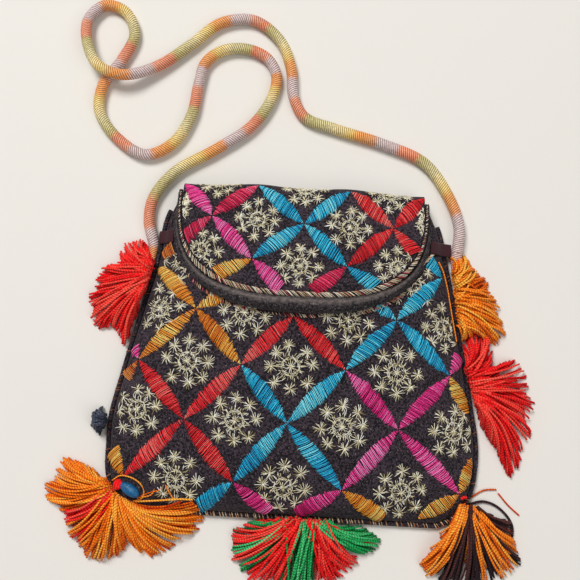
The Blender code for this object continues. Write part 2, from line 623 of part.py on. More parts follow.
def build_flap():
    """Embroidered flap with its overcast edge, the fat black roll and the thin trim under it."""
    outset = -(2 * OVERCAST_RADIUS + GAP)
    loop = flap_loop(outset, 40, FOLD_WRAP)
    features = [petal(FLAP_NODES[a], FLAP_NODES[b], colour) for a, b, colour in FLAP_PETALS]
    for centre in FLAP_STARS:
        features += star(centre, FLAP_STAR_SCALE)
    panel("flap_panel", loop, [fold_rows()], features, flap_place, 0.0, FLAP_THICK, FLAP_FILL_STEP,
          "black_felt")
    line = flap_edge(-OVERCAST_RADIUS, 30)
    level = flap_place(line[:, 0], line[:, 1], np.full(len(line), FLAP_THICK / 2))
    tube("flap_overcast", level, OVERCAST_RADIUS, 6, "gold_thread")
    base = flap_edge(0.0, 26)
    radius = roll_radius(base[:, 1])
    out = normals_2d(base, closed=False)
    line = base + out * (radius + GAP)[:, None]
    tube("flap_roll", resting_line(line, radius, GAP), radius, 8, "black_felt")
    line = base + out * (2 * radius + 2 * GAP + TRIM_RADIUS)[:, None]
    line = line[np.abs(base[:, 0]) < TRIM_REACH_X]
    tube("flap_trim", resting_line(line, TRIM_RADIUS, GAP), TRIM_RADIUS, 6, "gold_thread")


def build_snap():
    """Magnetic snap between the front and the flap, with its washer inside."""
    base, normal = surface_frame(0.0, SNAP_Y, GAP)
    turned("snap_stud", base, normal, [(SNAP_RADIUS, 0.0), (SNAP_RADIUS, STUD_THICK),
           (POST_RADIUS, STUD_THICK), (POST_RADIUS, STUD_THICK + POST_HEIGHT)], 16, "snap_brass")
    base, normal = surface_frame(0.0, SNAP_Y, GAP + STUD_THICK + GAP)
    hole = POST_RADIUS + GAP
    turned("snap_socket", base, normal, [(SNAP_RADIUS, 0.0), (SNAP_RADIUS, SOCKET_THICK),
           (hole, SOCKET_THICK), (hole, 0.0), (SNAP_RADIUS, 0.0)], 16, "snap_brass")
    depth = FRONT_THICK + LINING_GAP + LINING_THICK + GAP
    base, normal = surface_frame(0.0, SNAP_Y, -depth - STUD_THICK)
    turned("snap_washer", base, normal, [(SNAP_RADIUS, 0.0), (SNAP_RADIUS, STUD_THICK)], 16,
           "snap_brass")


def build_strap():
    """The free rope as one tube, its two stitched-down tips and the cloth tabs beside them."""
    route = smooth_line(STRAP_ROUTE, STRAP_POINT_COUNT)
    curve = bpy.data.curves.new("strap", "CURVE")
    curve.dimensions = "3D"
    curve.bevel_depth = STRAP_RADIUS
    curve.bevel_resolution = 2
    curve.render_resolution_u = 0
    curve.use_fill_caps = True
    spline = curve.splines.new("POLY")
    spline.points.add(len(route) - 1)
    spline.points.foreach_set("co", np.column_stack([route, np.ones(len(route))]).ravel())
    curve.materials.append(material("rope_thread"))
    bpy.context.scene.collection.objects.link(bpy.data.objects.new("strap", curve))
    for name, side, ends in (("left", -1, route[:2]), ("right", 1, route[::-1][:2])):
        away = (ends[0] - ends[1]) / np.linalg.norm(ends[0] - ends[1])
        start = ends[0] + away * GAP
        seam = side_x(ROPE_TIP_Y, side) + side * (2 * PIPING_RADIUS + 2 * GAP + ROPE_TIP_RADIUS)
        finish = np.array([seam, ROPE_TIP_Y, start[2]])
        share = np.linspace(0.0, 1.0, 5)
        bow = start + away * np.linalg.norm(finish - start) / 3
        line = ((1 - share) ** 2)[:, None] * start + (2 * share * (1 - share))[:, None] * bow
        line = line + (share ** 2)[:, None] * finish
        radii = STRAP_RADIUS + (ROPE_TIP_RADIUS - STRAP_RADIUS) * share ** 1.5
        tube(name + "_rope_end", line, radii, 8, "rope_thread")
        strap_tab(name, side, line, radii)


def strap_tab(name, side, line, radii):
    """A cloth tab from the front's shoulder, over the seam and down to the rope's inner side."""
    tab_y = line[0, 1] + TAB_RISE
    seam = float(side_x(tab_y, side))
    beside = line[:, 1] > tab_y - TAB_WIDTH
    rope_side = float(np.min(side * line[beside, 0] - radii[beside]))
    piping_top = BACK_THICK / 2 + 2 * PIPING_RADIUS
    edge = flap_edge(0.0, 200)
    edge = edge[side * edge[:, 0] > 0]
    order = np.argsort(edge[:, 1])
    flap_x = float(np.interp(tab_y, edge[order, 1], edge[order, 0]))
    start = flap_x + side * (2 * roll_radius(tab_y) + GAP + TAB_CLEARANCE)
    middle = (start + seam) / 2
    rim = BACK_THICK + GAP + FRONT_THICK
    path = np.array([
        (start, float(front_height(start, tab_y)) + 3 * GAP),
        (middle, float(front_height(middle, tab_y)) + 4 * GAP),
        (seam, rim + abs(seam - start) / 3), (side * (rope_side - GAP), piping_top + 2 * GAP)])
    verts = []
    for x, z in path:
        for y in (tab_y - TAB_WIDTH / 2, tab_y + TAB_WIDTH / 2):
            verts += [(x, y, z), (x, y, z + TAB_THICK)]
    faces = [(0, 1, 3, 2), tuple(len(verts) + k for k in (-4, -2, -1, -3))]
    for k in range(len(path) - 1):
        a = 4 * k
        faces += [(a, a + 4, a + 5, a + 1), (a + 2, a + 3, a + 7, a + 6),
                  (a, a + 2, a + 6, a + 4), (a + 1, a + 5, a + 7, a + 3)]
    if side < 0:
        faces = [tuple(reversed(face)) for face in faces]
    add_mesh(name + "_strap_tab", verts, faces, "maroon_cloth")


def tassel_root(target):
    """Where a tassel's head sits against the seam piping, near a point seen from above."""
    path = even_points(piping_path(), 600)
    outward = normals_2d(path, closed=False)
    nearest = np.linalg.norm(path - np.array(target) * MM, axis=1).argmin()
    return path[nearest] + outward[nearest] * (PIPING_RADIUS + GAP + HEAD_RADIUS)


def skirt(name, root, reach, colour):
    """A fan of yarn on the floor, ridged like its bundles and uneven at its ends."""
    degrees = np.array([pair[0] for pair in reach], dtype=float)
    length = np.array([pair[1] for pair in reach], dtype=float) * MM
    if degrees[0] < degrees[-1]:
        order = slice(None)
    else:
        order = slice(None, None, -1)
    columns = max(5, int(abs(degrees[-1] - degrees[0]) / 14) // 2 * 2 + 1)
    theta = np.linspace(degrees[order][0], degrees[order][-1], columns)
    radius = np.interp(theta, degrees[order], length[order])
    ridge = np.where(np.arange(columns) % 2 == 1, 1.0, 0.72)
    radius = radius - np.where(np.arange(columns) % 2 == 1, 0.0, 1.6 * MM)
    share = np.array([0.0, 0.45, 1.0])
    body = np.array([0.75, 1.0, 0.45])
    first = HEAD_RADIUS + GAP
    dist = first + (radius[:, None] - first) * share
    angle = np.radians(theta)[:, None]
    x = root[0] + dist * np.cos(angle)
    y = root[1] + dist * np.sin(angle)
    z = FLOOR_LIFT + SKIRT_THICK * body * ridge[:, None]
    top = np.stack([x, y, z], axis=-1).reshape(-1, 3)
    bottom = np.stack([x, y, np.full_like(z, FLOOR_LIFT)], axis=-1).reshape(-1, 3)
    rows = len(share)
    count = len(top)
    faces = []
    for k in range(columns - 1):
        for j in range(rows - 1):
            a = k * rows + j
            faces.append((a, a + 1, a + rows + 1, a + rows))
            faces.append((a + count, a + rows + count, a + rows + 1 + count, a + 1 + count))
        a = k * rows
        b = a + rows - 1
        faces.append((a, a + rows, a + rows + count, a + count))
        faces.append((b, b + count, b + rows + count, b + rows))
    last = (columns - 1) * rows
    for j in range(rows - 1):
        faces.append((j, j + count, j + 1 + count, j + 1))
        faces.append((last + j, last + j + 1, last + j + 1 + count, last + j + count))
    add_mesh(name, np.vstack([top, bottom]), faces, colour, 30.0)


def build_tassels():
    """Seven yarn tassels round the seam, each a wrapped head and its bundles of yarn."""
    for place, (target, bundles) in TASSELS.items():
        root = tassel_root(target)
        head = [(0.75 * HEAD_RADIUS, 0.0), (HEAD_RADIUS, 0.25 * HEAD_HEIGHT),
                (HEAD_RADIUS, 0.7 * HEAD_HEIGHT), (0.6 * HEAD_RADIUS, HEAD_HEIGHT)]
        turned(f"tassel_{place}_head", (*root, FLOOR_LIFT), (0, 0, 1), head, 6, bundles[0][0])
        for number, (colour, reach) in enumerate(bundles):
            suffix = f"_{colour}_{number + 1}" if len(bundles) > 1 else f"_{colour}"
            skirt(f"tassel_{place}{suffix}", root, reach, colour)


clear_scene()
build_body()
build_linings()
build_flap()
build_snap()
build_strap()
build_tassels()
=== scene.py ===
"""Embroidered crossbody satchel lying on its back on a plain pale floor, seen from above.

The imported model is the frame. Each section below makes one piece of the real bag, in the order in
which it is sewn together, and says which CAD nodes it stands for.
"""
import math

import bpy
import numpy as np
from mathutils import Matrix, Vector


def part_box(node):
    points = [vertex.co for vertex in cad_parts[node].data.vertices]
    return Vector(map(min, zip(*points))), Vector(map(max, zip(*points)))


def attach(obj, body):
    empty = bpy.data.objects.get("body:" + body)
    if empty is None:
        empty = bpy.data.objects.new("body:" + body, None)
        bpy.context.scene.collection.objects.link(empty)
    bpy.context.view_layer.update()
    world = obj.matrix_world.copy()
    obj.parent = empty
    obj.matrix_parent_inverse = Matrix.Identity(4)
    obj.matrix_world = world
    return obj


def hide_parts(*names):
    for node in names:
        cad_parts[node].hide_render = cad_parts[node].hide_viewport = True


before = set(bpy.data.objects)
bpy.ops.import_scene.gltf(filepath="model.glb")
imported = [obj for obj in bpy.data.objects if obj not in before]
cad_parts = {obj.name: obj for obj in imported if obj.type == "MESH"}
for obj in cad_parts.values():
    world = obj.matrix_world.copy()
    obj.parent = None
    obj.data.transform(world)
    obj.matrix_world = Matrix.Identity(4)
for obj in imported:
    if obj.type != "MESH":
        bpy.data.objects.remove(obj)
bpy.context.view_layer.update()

MM = 0.001


# Camera, lamps and floor.
# The camera looks down on the bag from a little below its middle and is held slightly askew. Two
# big soft lamps light it, and the world and the floor are plain and pale.
CAMERA_AIM = np.array([-5.4, 37.8, 15.0]) * MM
CAMERA_DISTANCE = 483 * MM
CAMERA_HEIGHT_ANGLE = math.radians(80.0)
CAMERA_ROLL = math.radians(3.3)
WORLD_LIGHT = 0.27
FLOOR_REACH = 3.0


def add_object(name, data, right=(1, 0, 0), up=(0, 1, 0), away=(0, 0, 1), place=(0, 0, 0)):
    """Link an object whose axes run right, up and away from what it faces."""
    turned = np.eye(4)
    turned[:3] = np.column_stack([right, up, away, place])
    made = bpy.data.objects.new(name, data)
    made.matrix_world = Matrix(turned.tolist())
    bpy.context.scene.collection.objects.link(made)
    return made


def place_camera():
    """Camera axes from the height angle, then turned about the line of sight by the roll."""
    behind = np.array([0.0, -math.cos(CAMERA_HEIGHT_ANGLE), math.sin(CAMERA_HEIGHT_ANGLE)])
    level = np.array([1.0, 0.0, 0.0])
    above = np.cross(behind, level)
    right = math.cos(CAMERA_ROLL) * level + math.sin(CAMERA_ROLL) * above
    up = -math.sin(CAMERA_ROLL) * level + math.cos(CAMERA_ROLL) * above
    lens = bpy.data.cameras.new("camera")
    lens.lens, lens.sensor_width, lens.clip_start = 50, 36, 0.01
    place = CAMERA_AIM + CAMERA_DISTANCE * behind
    bpy.context.scene.camera = add_object("camera", lens, right, up, behind, place)


def soft_lamp(name, place, aim, width, watts):
    """A square area lamp at a place, turned towards a point."""
    light = bpy.data.lights.new(name, "AREA")
    light.size, light.energy = width, watts
    away = np.array(place) - np.array(aim)
    away = away / np.linalg.norm(away)
    side = np.cross([0.0, 1.0, 0.0], away)
    side /= np.linalg.norm(side)
    add_object(name, light, side, np.cross(away, side), away, place)


def add_node(tree, kind, *values, out=0, **settings):
    """A shader node with its settings, and its inputs in order as sockets, constants or None."""
    node = tree.nodes.new("ShaderNode" + kind)
    for name, value in settings.items():
        setattr(node, name, value)
    for slot, value in zip(node.inputs, values):
        if isinstance(value, bpy.types.NodeSocket):
            tree.links.new(value, slot)
        elif value is not None:
            slot.default_value = value
    return node.outputs[out]


class Finish:
    """A material: constants on its Principled shader's own sockets, and short ways to add nodes."""

    def __init__(self, name, roughness, sheen=0.0, metallic=0.0, specular=0.5):
        self.material = bpy.data.materials.new(name)
        self.material.use_nodes = True
        self.tree = self.material.node_tree
        self.shader = self.tree.nodes["Principled BSDF"]
        constants = {"Roughness": roughness, "Metallic": metallic, "Specular IOR Level": specular,
                     "Sheen Weight": sheen, "Sheen Roughness": 0.45}
        for name, value in constants.items():
            self.shader.inputs[name].default_value = value

    def add(self, kind, *values, **settings):
        return add_node(self.tree, kind, *values, **settings)

    def math(self, operation, *values):
        return self.add("Math", *values, operation=operation)

    def ramp(self, factor, *stops):
        """A ColorRamp through (place, colour) stops."""
        colour = self.add("ValToRGB", factor)
        band = colour.node.color_ramp
        while len(band.elements) < len(stops):
            band.elements.new(0.5)
        for element, (place, dye) in zip(band.elements, stops):
            element.position = place
            element.color = dye
        return colour

    def blend(self, kind, factor, first, second):
        """A Mix node on colours, whose colour sockets are the seventh and eighth."""
        return self.add("Mix", factor, *[None] * 5, first, second, out=2, data_type="RGBA",
                        blend_type=kind)

    def cloudy(self, scale, detail=2.0, stretch=(1.0, 1.0, 1.0)):
        """Noise on Object coordinates, scale in lumps per metre."""
        place = self.add("Mapping", self.add("TexCoord", out="Object"), None, None, stretch)
        return self.add("TexNoise", place, None, scale, detail)

    def shade(self):
        """The mesh's own shade attribute."""
        return self.add("Attribute", out="Fac", attribute_name="shade")

    def turn_and_run(self):
        """Turns round a swept tube, and millimetres along it."""
        return self.add("SeparateXYZ", self.add("UVMap", uv_map="UVMap")).node.outputs[:2]

    def twist(self, starts, pitch_mm):
        """Slanted ridges of wound or plied thread, 0 to 1: a sine of the turns round the tube times
        the number of starts, plus the run along it over the pitch."""
        turn, run = self.turn_and_run()
        turns = self.math("MULTIPLY", turn, float(starts))
        phase = self.math("MULTIPLY_ADD", run, 1.0 / pitch_mm, turns)
        wave = self.math("SINE", self.math("MULTIPLY", phase, 2 * math.pi))
        return self.math("MULTIPLY_ADD", wave, 0.5, 0.5)

    def done(self, colour, height, depth, strength=1.0):
        """Link the base colour, and bump from a height with its depth in metres."""
        bump = self.add("Bump", strength, depth, None, height)
        self.tree.links.new(colour, self.shader.inputs["Base Color"])
        self.tree.links.new(bump, self.shader.inputs["Normal"])
        return self.material


def pale_world():
    """Even light for the object, and a plain pale backdrop for the camera and for reflections."""
    world = bpy.data.worlds.new("studio")
    bpy.context.scene.world = world
    world.use_nodes = True
    tree = world.node_tree
    camera, through, glossy = (add_node(tree, "LightPath", out=f"Is {ray} Ray")
                               for ray in ("Camera", "Transmission", "Glossy"))
    seen = add_node(tree, "Math", camera, through, operation="MAXIMUM")
    seen = add_node(tree, "Math", seen, glossy, operation="MAXIMUM")
    even = add_node(tree, "Background", (1.0, 0.985, 0.96, 1.0), WORLD_LIGHT)
    pale = add_node(tree, "Background", (0.86, 0.85, 0.83, 1.0), 1.0)
    mixed = add_node(tree, "MixShader", seen, even, pale)
    tree.links.new(mixed, tree.nodes["World Output"].inputs["Surface"])


def pale_floor():
    """One big square under the object."""
    corners = FLOOR_REACH * np.array([(-1, -1, 0), (1, -1, 0), (1, 1, 0), (-1, 1, 0)])
    mesh = bpy.data.meshes.new("floor")
    mesh.from_pydata(corners, [], [(0, 1, 2, 3)])
    paint = Finish("pale_floor", 0.9, specular=0.1)
    paint.shader.inputs["Base Color"].default_value = (0.80, 0.77, 0.72, 1.0)
    mesh.materials.append(paint.material)
    add_object("floor", mesh)


place_camera()
pale_world()
pale_floor()
soft_lamp("window_lamp", (-0.99, 1.33, 2.25), (0.0, 0.03, 0.0), 1.08, 60.0)
soft_lamp("fill_lamp", (1.44, -0.9, 1.98), (0.0, 0.0, 0.0), 1.8, 16.0)
bpy.context.scene.view_settings.view_transform = "Standard"


# Rope strap: a soft core wound all along with slanted silk, dyed in five colours that repeat about
# every 70 mm. One free cord from the bag's left shoulder to its right, seen from end to end. Route
# points are x and y, and z where it lies higher than on the floor.
STRAP_RADIUS = 3.5 * MM
STRAP_LEVEL_MM = 3.6
STRAP_ROUTE_MM = [
    (-92, 66.5), (-95.3, 78), (-94, 93), (-82, 110.8), (-58, 126.8), (-35.5, 144.5), (-24, 164),
    (-22, 178.5), (-28.5, 190.5), (-42, 196.2), (-57, 194.5), (-68, 185.5), (-71.5, 170),
    (-74.5, 149), (-85, 129.5), (-101.5, 121.2), (-120.5, 131.3), (-133, 148), (-132.5, 166),
    (-122, 184), (-115.5, 202), (-123, 217.5), (-136.5, 221, 3.8), (-146, 210, 4.8),
    (-144, 191.5, 8), (-134.5, 175.5, 11), (-119, 171.2, 9.6), (-98.5, 180.5, 5),
    (-78, 197.5, 3.7), (-60, 213.5), (-39, 216.5), (-21.5, 204), (-13, 185), (-10.5, 166.5),
    (-2.5, 152.2), (16.5, 145.5), (47.5, 137.2), (74.5, 126.2), (89.5, 107), (97.5, 86),
    (96.5, 68.5)]
WRAP_STARTS = 6
WRAP_PITCH_MM = 1.4
DYE_PERIOD_MM = 70.0
DYE_START_MM = 8.0
DYE_DRIFT_MM = [(0, -7), (12, -10), (41, 5), (77, 14), (120, 14), (150, 2), (213, -5),
                (480, -4), (558, 4), (649, -2), (699, 5), (760, 6), (786, 9), (804, 20)]
STRAP_POINTS = 900
UP = np.array([0.0, 0.0, 1.0])


def rgb(red, green, blue):
    """A screen colour, 0 to 255, as the linear colour that a shader takes."""
    share = np.array([red, green, blue]) / 255
    linear = np.where(share < 0.04045, share / 12.92, ((share + 0.055) / 1.055) ** 2.4)
    return tuple(linear) + (1.0,)


def distances(line):
    """How far along a polyline each of its points is."""
    return np.concatenate([[0.0], np.cumsum(np.linalg.norm(np.diff(line, axis=0), axis=1))])


def read_along(wanted, along, line):
    """Points between those of a line, at wanted distances along it."""
    columns = [np.interp(wanted, along, line[:, k]) for k in range(line.shape[1])]
    return np.stack(columns, axis=-1)


def even_points(line, count):
    """Read count points at even distances along a polyline."""
    along = distances(line)
    return read_along(np.linspace(0.0, along[-1], count), along, line)


def smooth_line(points, count):
    """Centripetal Catmull-Rom curve: knots lie apart by the root of the distance, and each span is
    blended three times between neighbours. It is read at even distances."""
    given = np.asarray(points, dtype=float)
    ends = np.vstack([2 * given[0] - given[1], given, 2 * given[-1] - given[-2]])
    p0, p1, p2, p3 = ends[:-3, None], ends[1:-2, None], ends[2:-1, None], ends[3:, None]
    gap = np.sqrt(np.linalg.norm(np.diff(ends, axis=0), axis=1))[:, None, None]
    t1 = gap[:-2]
    t2 = t1 + gap[1:-1]
    t3 = t2 + gap[2:]
    t = t1 + (t2 - t1) * np.linspace(0.0, 1.0, 16, endpoint=False)[None, :, None]
    a1 = ((t1 - t) * p0 + t * p1) / t1
    a2 = ((t2 - t) * p1 + (t - t1) * p2) / (t2 - t1)
    a3 = ((t3 - t) * p2 + (t - t2) * p3) / (t3 - t2)
    b1 = ((t2 - t) * a1 + t * a2) / t2
    b2 = ((t3 - t) * a2 + (t - t1) * a3) / (t3 - t1)
    dense = ((t2 - t) * b1 + (t - t1) * b2) / (t2 - t1)
    return even_points(np.vstack([dense.reshape(-1, given.shape[1]), given[-1:]]), count)


def unit(vectors):
    """Vectors scaled to length one."""
    return vectors / np.maximum(np.linalg.norm(vectors, axis=-1, keepdims=True), 1e-12)


def sweep(centres, wide, high, sides, up=UP, shade=0.5):
    """Closed tubes along many centre lines at once: centres is [tubes, points, 3]. Each ring is an
    ellipse square to the run, wide across it and high towards up. UV is once round, and the run
    in millimetres. Both ends are closed with flat faces. Shade is one value a tube or one a ring.
    """
    centres = centres if np.ndim(centres) == 3 else centres[None]
    tubes, rings = centres.shape[:2]
    wide = np.broadcast_to(wide, (tubes, rings))[..., None, None]
    high = np.broadcast_to(high, (tubes, rings))[..., None, None]
    run = unit(np.gradient(centres, axis=1))
    side = unit(np.cross(run, np.broadcast_to(up, run.shape)))
    over = np.cross(side, run)
    turn = (np.arange(sides) + 0.5) / sides * 2 * math.pi
    cosine, sine = np.cos(turn)[:, None], np.sin(turn)[:, None]
    points = centres[:, :, None] + side[:, :, None] * cosine * wide + over[:, :, None] * sine * high
    index = np.arange(tubes * rings * sides).reshape(tubes, rings, sides)
    near, far = index[:, :-1], index[:, 1:]
    wall = np.stack([near, far, np.roll(far, -1, axis=2), np.roll(near, -1, axis=2)], axis=-1)
    step = np.linalg.norm(np.diff(centres, axis=1), axis=2) / MM
    along = np.concatenate([np.zeros((tubes, 1)), np.cumsum(step, axis=1)], axis=1)
    u = np.broadcast_to(np.arange(sides) / sides, near.shape)
    v = np.broadcast_to(along[:, :-1, None], near.shape)
    w = np.broadcast_to(along[:, 1:, None], near.shape)
    ahead = u + 1 / sides
    uv = np.stack([np.stack([u, u, ahead, ahead], -1), np.stack([v, w, w, v], -1)], -1)
    pair = np.arange(sides // 2 - 1)
    cap = np.stack([pair, pair + 1, sides - 2 - pair, sides - 1 - pair], axis=-1)
    caps = np.concatenate([index[:, 0][:, cap].reshape(-1, 4),
                           index[:, -1][:, cap[:, ::-1]].reshape(-1, 4)])
    quads = np.concatenate([wall.reshape(-1, 4), caps])
    uv = np.concatenate([uv.reshape(-1, 4, 2), np.zeros((len(caps), 4, 2))])
    shade = np.asarray(shade, dtype=float)
    shade = shade[..., None] if shade.ndim == 2 else shade.reshape(-1, 1, 1)
    return points.reshape(-1, 3), quads, uv, np.broadcast_to(shade, (tubes, rings, sides)).ravel()


def make_piece(name, parts, material, stands_for=()):
    """Put swept or sheet parts together as one object at the origin, and fix it to the bag."""
    points, quads, uv, shade = zip(*parts)
    start = np.cumsum([0] + [len(part) for part in points])
    quads = np.concatenate([part + first for part, first in zip(quads, start)])
    mesh = bpy.data.meshes.new(name)
    mesh.vertices.add(start[-1])
    mesh.vertices.foreach_set("co", np.concatenate(points).astype(np.float32).ravel())
    mesh.loops.add(quads.size)
    mesh.loops.foreach_set("vertex_index", quads.astype(np.int32).ravel())
    mesh.polygons.add(len(quads))
    mesh.polygons.foreach_set("loop_start", np.arange(0, quads.size, 4, dtype=np.int32))
    mesh.update(calc_edges=True)
    layer = mesh.uv_layers.new(name="UVMap")
    layer.data.foreach_set("uv", np.concatenate(uv).astype(np.float32).ravel())
    tone = mesh.attributes.new("shade", "FLOAT", "POINT")
    tone.data.foreach_set("value", np.concatenate(shade).astype(np.float32))
    mesh.shade_smooth()
    mesh.materials.append(material)
    piece = add_object(name, mesh)
    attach(piece, "root")
    if stands_for:
        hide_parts(*stands_for)
    return piece


def dyed_silk():
    """Silk wound on rope: the dye goes round once for each whole number of the shade, which is the
    run in dye periods. The wraps' tops carry a painted highlight and the grooves between them a
    painted brown shade."""
    silk = Finish("dyed_silk", 0.5, sheen=0.1)
    ridge = silk.twist(WRAP_STARTS, WRAP_PITCH_MM)
    fleck = silk.cloudy(900.0, 3.0)
    share = silk.math("MULTIPLY_ADD", fleck, 0.08, silk.shade())
    share = silk.math("FRACT", silk.math("SUBTRACT", share, 0.04))
    lilac, orange, olive = rgb(222, 204, 208), rgb(244, 164, 132), rgb(226, 218, 166)
    dye = silk.ramp(share, (0.00, lilac), (0.09, rgb(222, 200, 200)), (0.13, orange),
                    (0.28, rgb(238, 148, 112)), (0.33, rgb(202, 192, 128)), (0.50, olive),
                    (0.56, rgb(248, 230, 168)), (0.69, rgb(246, 214, 126)),
                    (0.74, rgb(248, 174, 94)), (0.88, rgb(244, 164, 102)), (0.93, lilac))
    uneven = silk.ramp(fleck, (0.34, (0.76, 0.72, 0.68, 1)), (0.66, (1.1, 1.1, 1.1, 1)))
    # Painted shade: brown in the grooves between the wraps, and a painted highlight on their tops.
    groove_shade_and_highlight = silk.ramp(ridge, (0.05, (0.3, 0.2, 0.14, 1)), (0.4, (0.94, 0.92, 0.9, 1)),
                       (0.95, (1.2, 1.2, 1.18, 1)))
    dye = silk.blend("MULTIPLY", 1.0, dye, uneven)
    return silk.done(silk.blend("MULTIPLY", 1.0, dye, groove_shade_and_highlight), ridge, 0.28 * MM)


def dye_turns(run_mm):
    """Dye periods up to a place on the rope; the bands drift by some millimetres from even ones."""
    places, drift = np.array(DYE_DRIFT_MM, dtype=float).T
    return (run_mm - DYE_START_MM - np.interp(run_mm, places, drift)) / DYE_PERIOD_MM


strap_route = np.array([(*point, STRAP_LEVEL_MM)[:3] for point in STRAP_ROUTE_MM]) / 1000
strap_line = smooth_line(strap_route, STRAP_POINTS)
strap_length = float(np.linalg.norm(np.diff(strap_line, axis=0), axis=1).sum())
strap_turns = dye_turns(np.linspace(0.0, strap_length / MM, STRAP_POINTS))
strap_silk = dyed_silk()
strap = make_piece("rope_strap", [sweep(strap_line, STRAP_RADIUS, STRAP_RADIUS, 20, UP,
                                        strap_turns[None])], strap_silk, ["strap"])


# Front: stuffed black felt-like cloth, 2.2 mm thick, sewn to the back round its sides and foot.
# The embroidery draws it in along the petals, so the cloth puffs a little in each star's square.
GAP = 0.3 * MM
LEFT_SIDE = [(-93.5, -88.0), (-88.0, -98.5), (-76.0, -104.5), (-58.0, -106.0), (-42.0, -106.0),
             (-18.0, -101.5), (2.0, -97.5), (26.0, -92.0), (48.0, -87.0), (66.0, -84.5),
             (80.0, -82.5), (92.0, -78.0)]
RIGHT_SIDE = [(-93.5, 87.0), (-88.5, 97.0), (-76.0, 105.5), (-60.0, 108.5), (-46.0, 108.5),
              (-20.0, 104.0), (0.0, 100.5), (24.0, 95.5), (45.0, 91.5), (66.0, 87.0),
              (80.0, 84.0), (92.0, 79.0)]
SMOOTH_LEFT = smooth_line(LEFT_SIDE, 120) * MM
SMOOTH_RIGHT = smooth_line(RIGHT_SIDE, 120) * MM
BOTTOM_Y = -93.5 * MM
MOUTH_Y = 92.0 * MM
FOLD_Y = 97.0 * MM
BACK_THICK = 2.0 * MM
FRONT_THICK = 2.2 * MM
LINING_THICK = 0.8 * MM
LINING_GAP = 0.6 * MM
FRONT_RISE = 24.0 * MM
FULLEST_Y = -10.0 * MM
MOUTH_DROP = 0.55
PUCKER_GRID = (84, 92)
PUCKER_LIMIT = 1.6 * MM
PUCKER_STEPS = 16
FINE_GRID = (130, 140)


def read_petals(text):
    """Petals written as their two nodes and their colour, with commas between them."""
    return [tuple(petal.split()) for petal in text.split(", ")]


FRONT_NODES = {
    "b0": (-89.0, 51.8), "b3": (86.5, 51.5),
    "c1": (-60.0, 22.5), "c2": (-2.6, 20.5), "c3": (58.0, 22.0),
    "d0": (-92.5, -8.7), "d1": (-31.0, -9.5), "d2": (29.2, -9.2), "d3": (91.5, -8.0),
    "e1": (-62.0, -42.0), "e2": (-2.8, -41.0), "e3": (61.0, -41.2),
    "f0": (-96.0, -77.0), "f1": (-31.7, -75.8), "f2": (30.5, -77.0), "f3": (100.0, -76.0),
    "g0": (-61.0, -100.0), "g1": (-1.5, -99.0), "g2": (-2.0, -96.7), "g3": (63.5, -96.7),
    "g4": (76.0, -91.5), "a1": (-27.0, 41.0), "a4": (27.3, 44.4), "h0": (-114.0, -40.0),
    "h3": (105.0, -31.0), "h4": (107.0, -54.5), "i0": (-109.5, -52.0), "k3": (108.0, 22.0),
    "b8": (66.0, 74.0), "b9": (-64.0, 72.0), "d9": (-106.0, 16.0)}
FRONT_PETALS = read_petals(
    "b0 c1 gold, c1 a1 gold, c1 d0 gold, c1 d1 gold, d0 h0 rust, d0 e1 red, e1 d1 red, "
    "e1 f0 red, e1 f1 red, d1 c2 red, c2 d2 red, d1 e2 blue, e2 d2 blue, e2 f1 blue, "
    "e2 f2 blue, d2 c3 blue, c3 a4 blue, c3 b3 blue, c3 d3 blue, d2 e3 magenta, e3 d3 magenta, "
    "e3 f2 magenta, e3 f3 magenta, d3 k3 magenta, d3 h3 gold, f0 i0 gold, f1 g0 blue, "
    "f1 g1 magenta, f2 g2 magenta, f2 g3 gold, f3 g4 gold, f3 h4 gold, b0 b9 rust, b3 b8 blue, "
    "d0 d9 magenta")


def side_x(y, side):
    """Where the seam lies at a height y, read from the measured outline: -1 left, 1 right."""
    line = SMOOTH_LEFT if side < 0 else SMOOTH_RIGHT
    return np.interp(y, line[:, 0], line[:, 1])


def pillow(x, y):
    """Height of the stuffed front: the rim plus the rise times (1 - across^2.6)^0.6 times
    (1 - below^2.6)^0.6, less a share of the distance up to the mouth squared."""
    left, right = side_x(y, -1), side_x(y, 1)
    across = np.clip(np.abs(2 * x - left - right) / (right - left), 0.0, 1.0)
    below = np.clip((FULLEST_Y - y) / (FULLEST_Y - BOTTOM_Y), 0.0, 1.0)
    above = np.clip((y - FULLEST_Y) / (FOLD_Y - FULLEST_Y), 0.0, 1.0)
    full = (1 - across ** 2.6) ** 0.6 * (1 - below ** 2.6) ** 0.6 * (1 - MOUTH_DROP * above ** 2)
    return BACK_THICK + GAP + FRONT_THICK + FRONT_RISE * full


def row_places():
    """Heights y of the cloth's rows, closer together near the foot where it curves down."""
    share = np.linspace(0.0, 1.0, PUCKER_GRID[0])
    return BOTTOM_Y + (MOUTH_Y - BOTTOM_Y) * (0.35 * share + 0.65 * share ** 1.6)


def column_shares():
    """Places across the cloth from -1 to 1, closer together near the side seams."""
    share = np.linspace(-1.0, 1.0, PUCKER_GRID[1])
    return 0.4 * share + 0.6 * np.sin(share * math.pi / 2)


def cloth_grid(rows, columns):
    """Plan points of the front's grid, each row from its left seam to its right one."""
    left, right = side_x(rows, -1)[:, None], side_x(rows, 1)[:, None]
    x = (left + right) / 2 + (right - left) / 2 * columns[None, :]
    return x, np.broadcast_to(rows[:, None], x.shape)


def petal_distance(x, y):
    """Distance in plan from each point to the nearest petal's middle line."""
    nearest = np.full(x.shape, 1.0)
    for start, end, _ in FRONT_PETALS:
        a, b = np.array(FRONT_NODES[start]) * MM, np.array(FRONT_NODES[end]) * MM
        along = b - a
        share = ((x - a[0]) * along[0] + (y - a[1]) * along[1]) / (along @ along)
        share = np.clip(share, 0.0, 1.0)
        off = np.hypot(x - a[0] - share * along[0], y - a[1] - share * along[1])
        nearest = np.minimum(nearest, off)
    return nearest


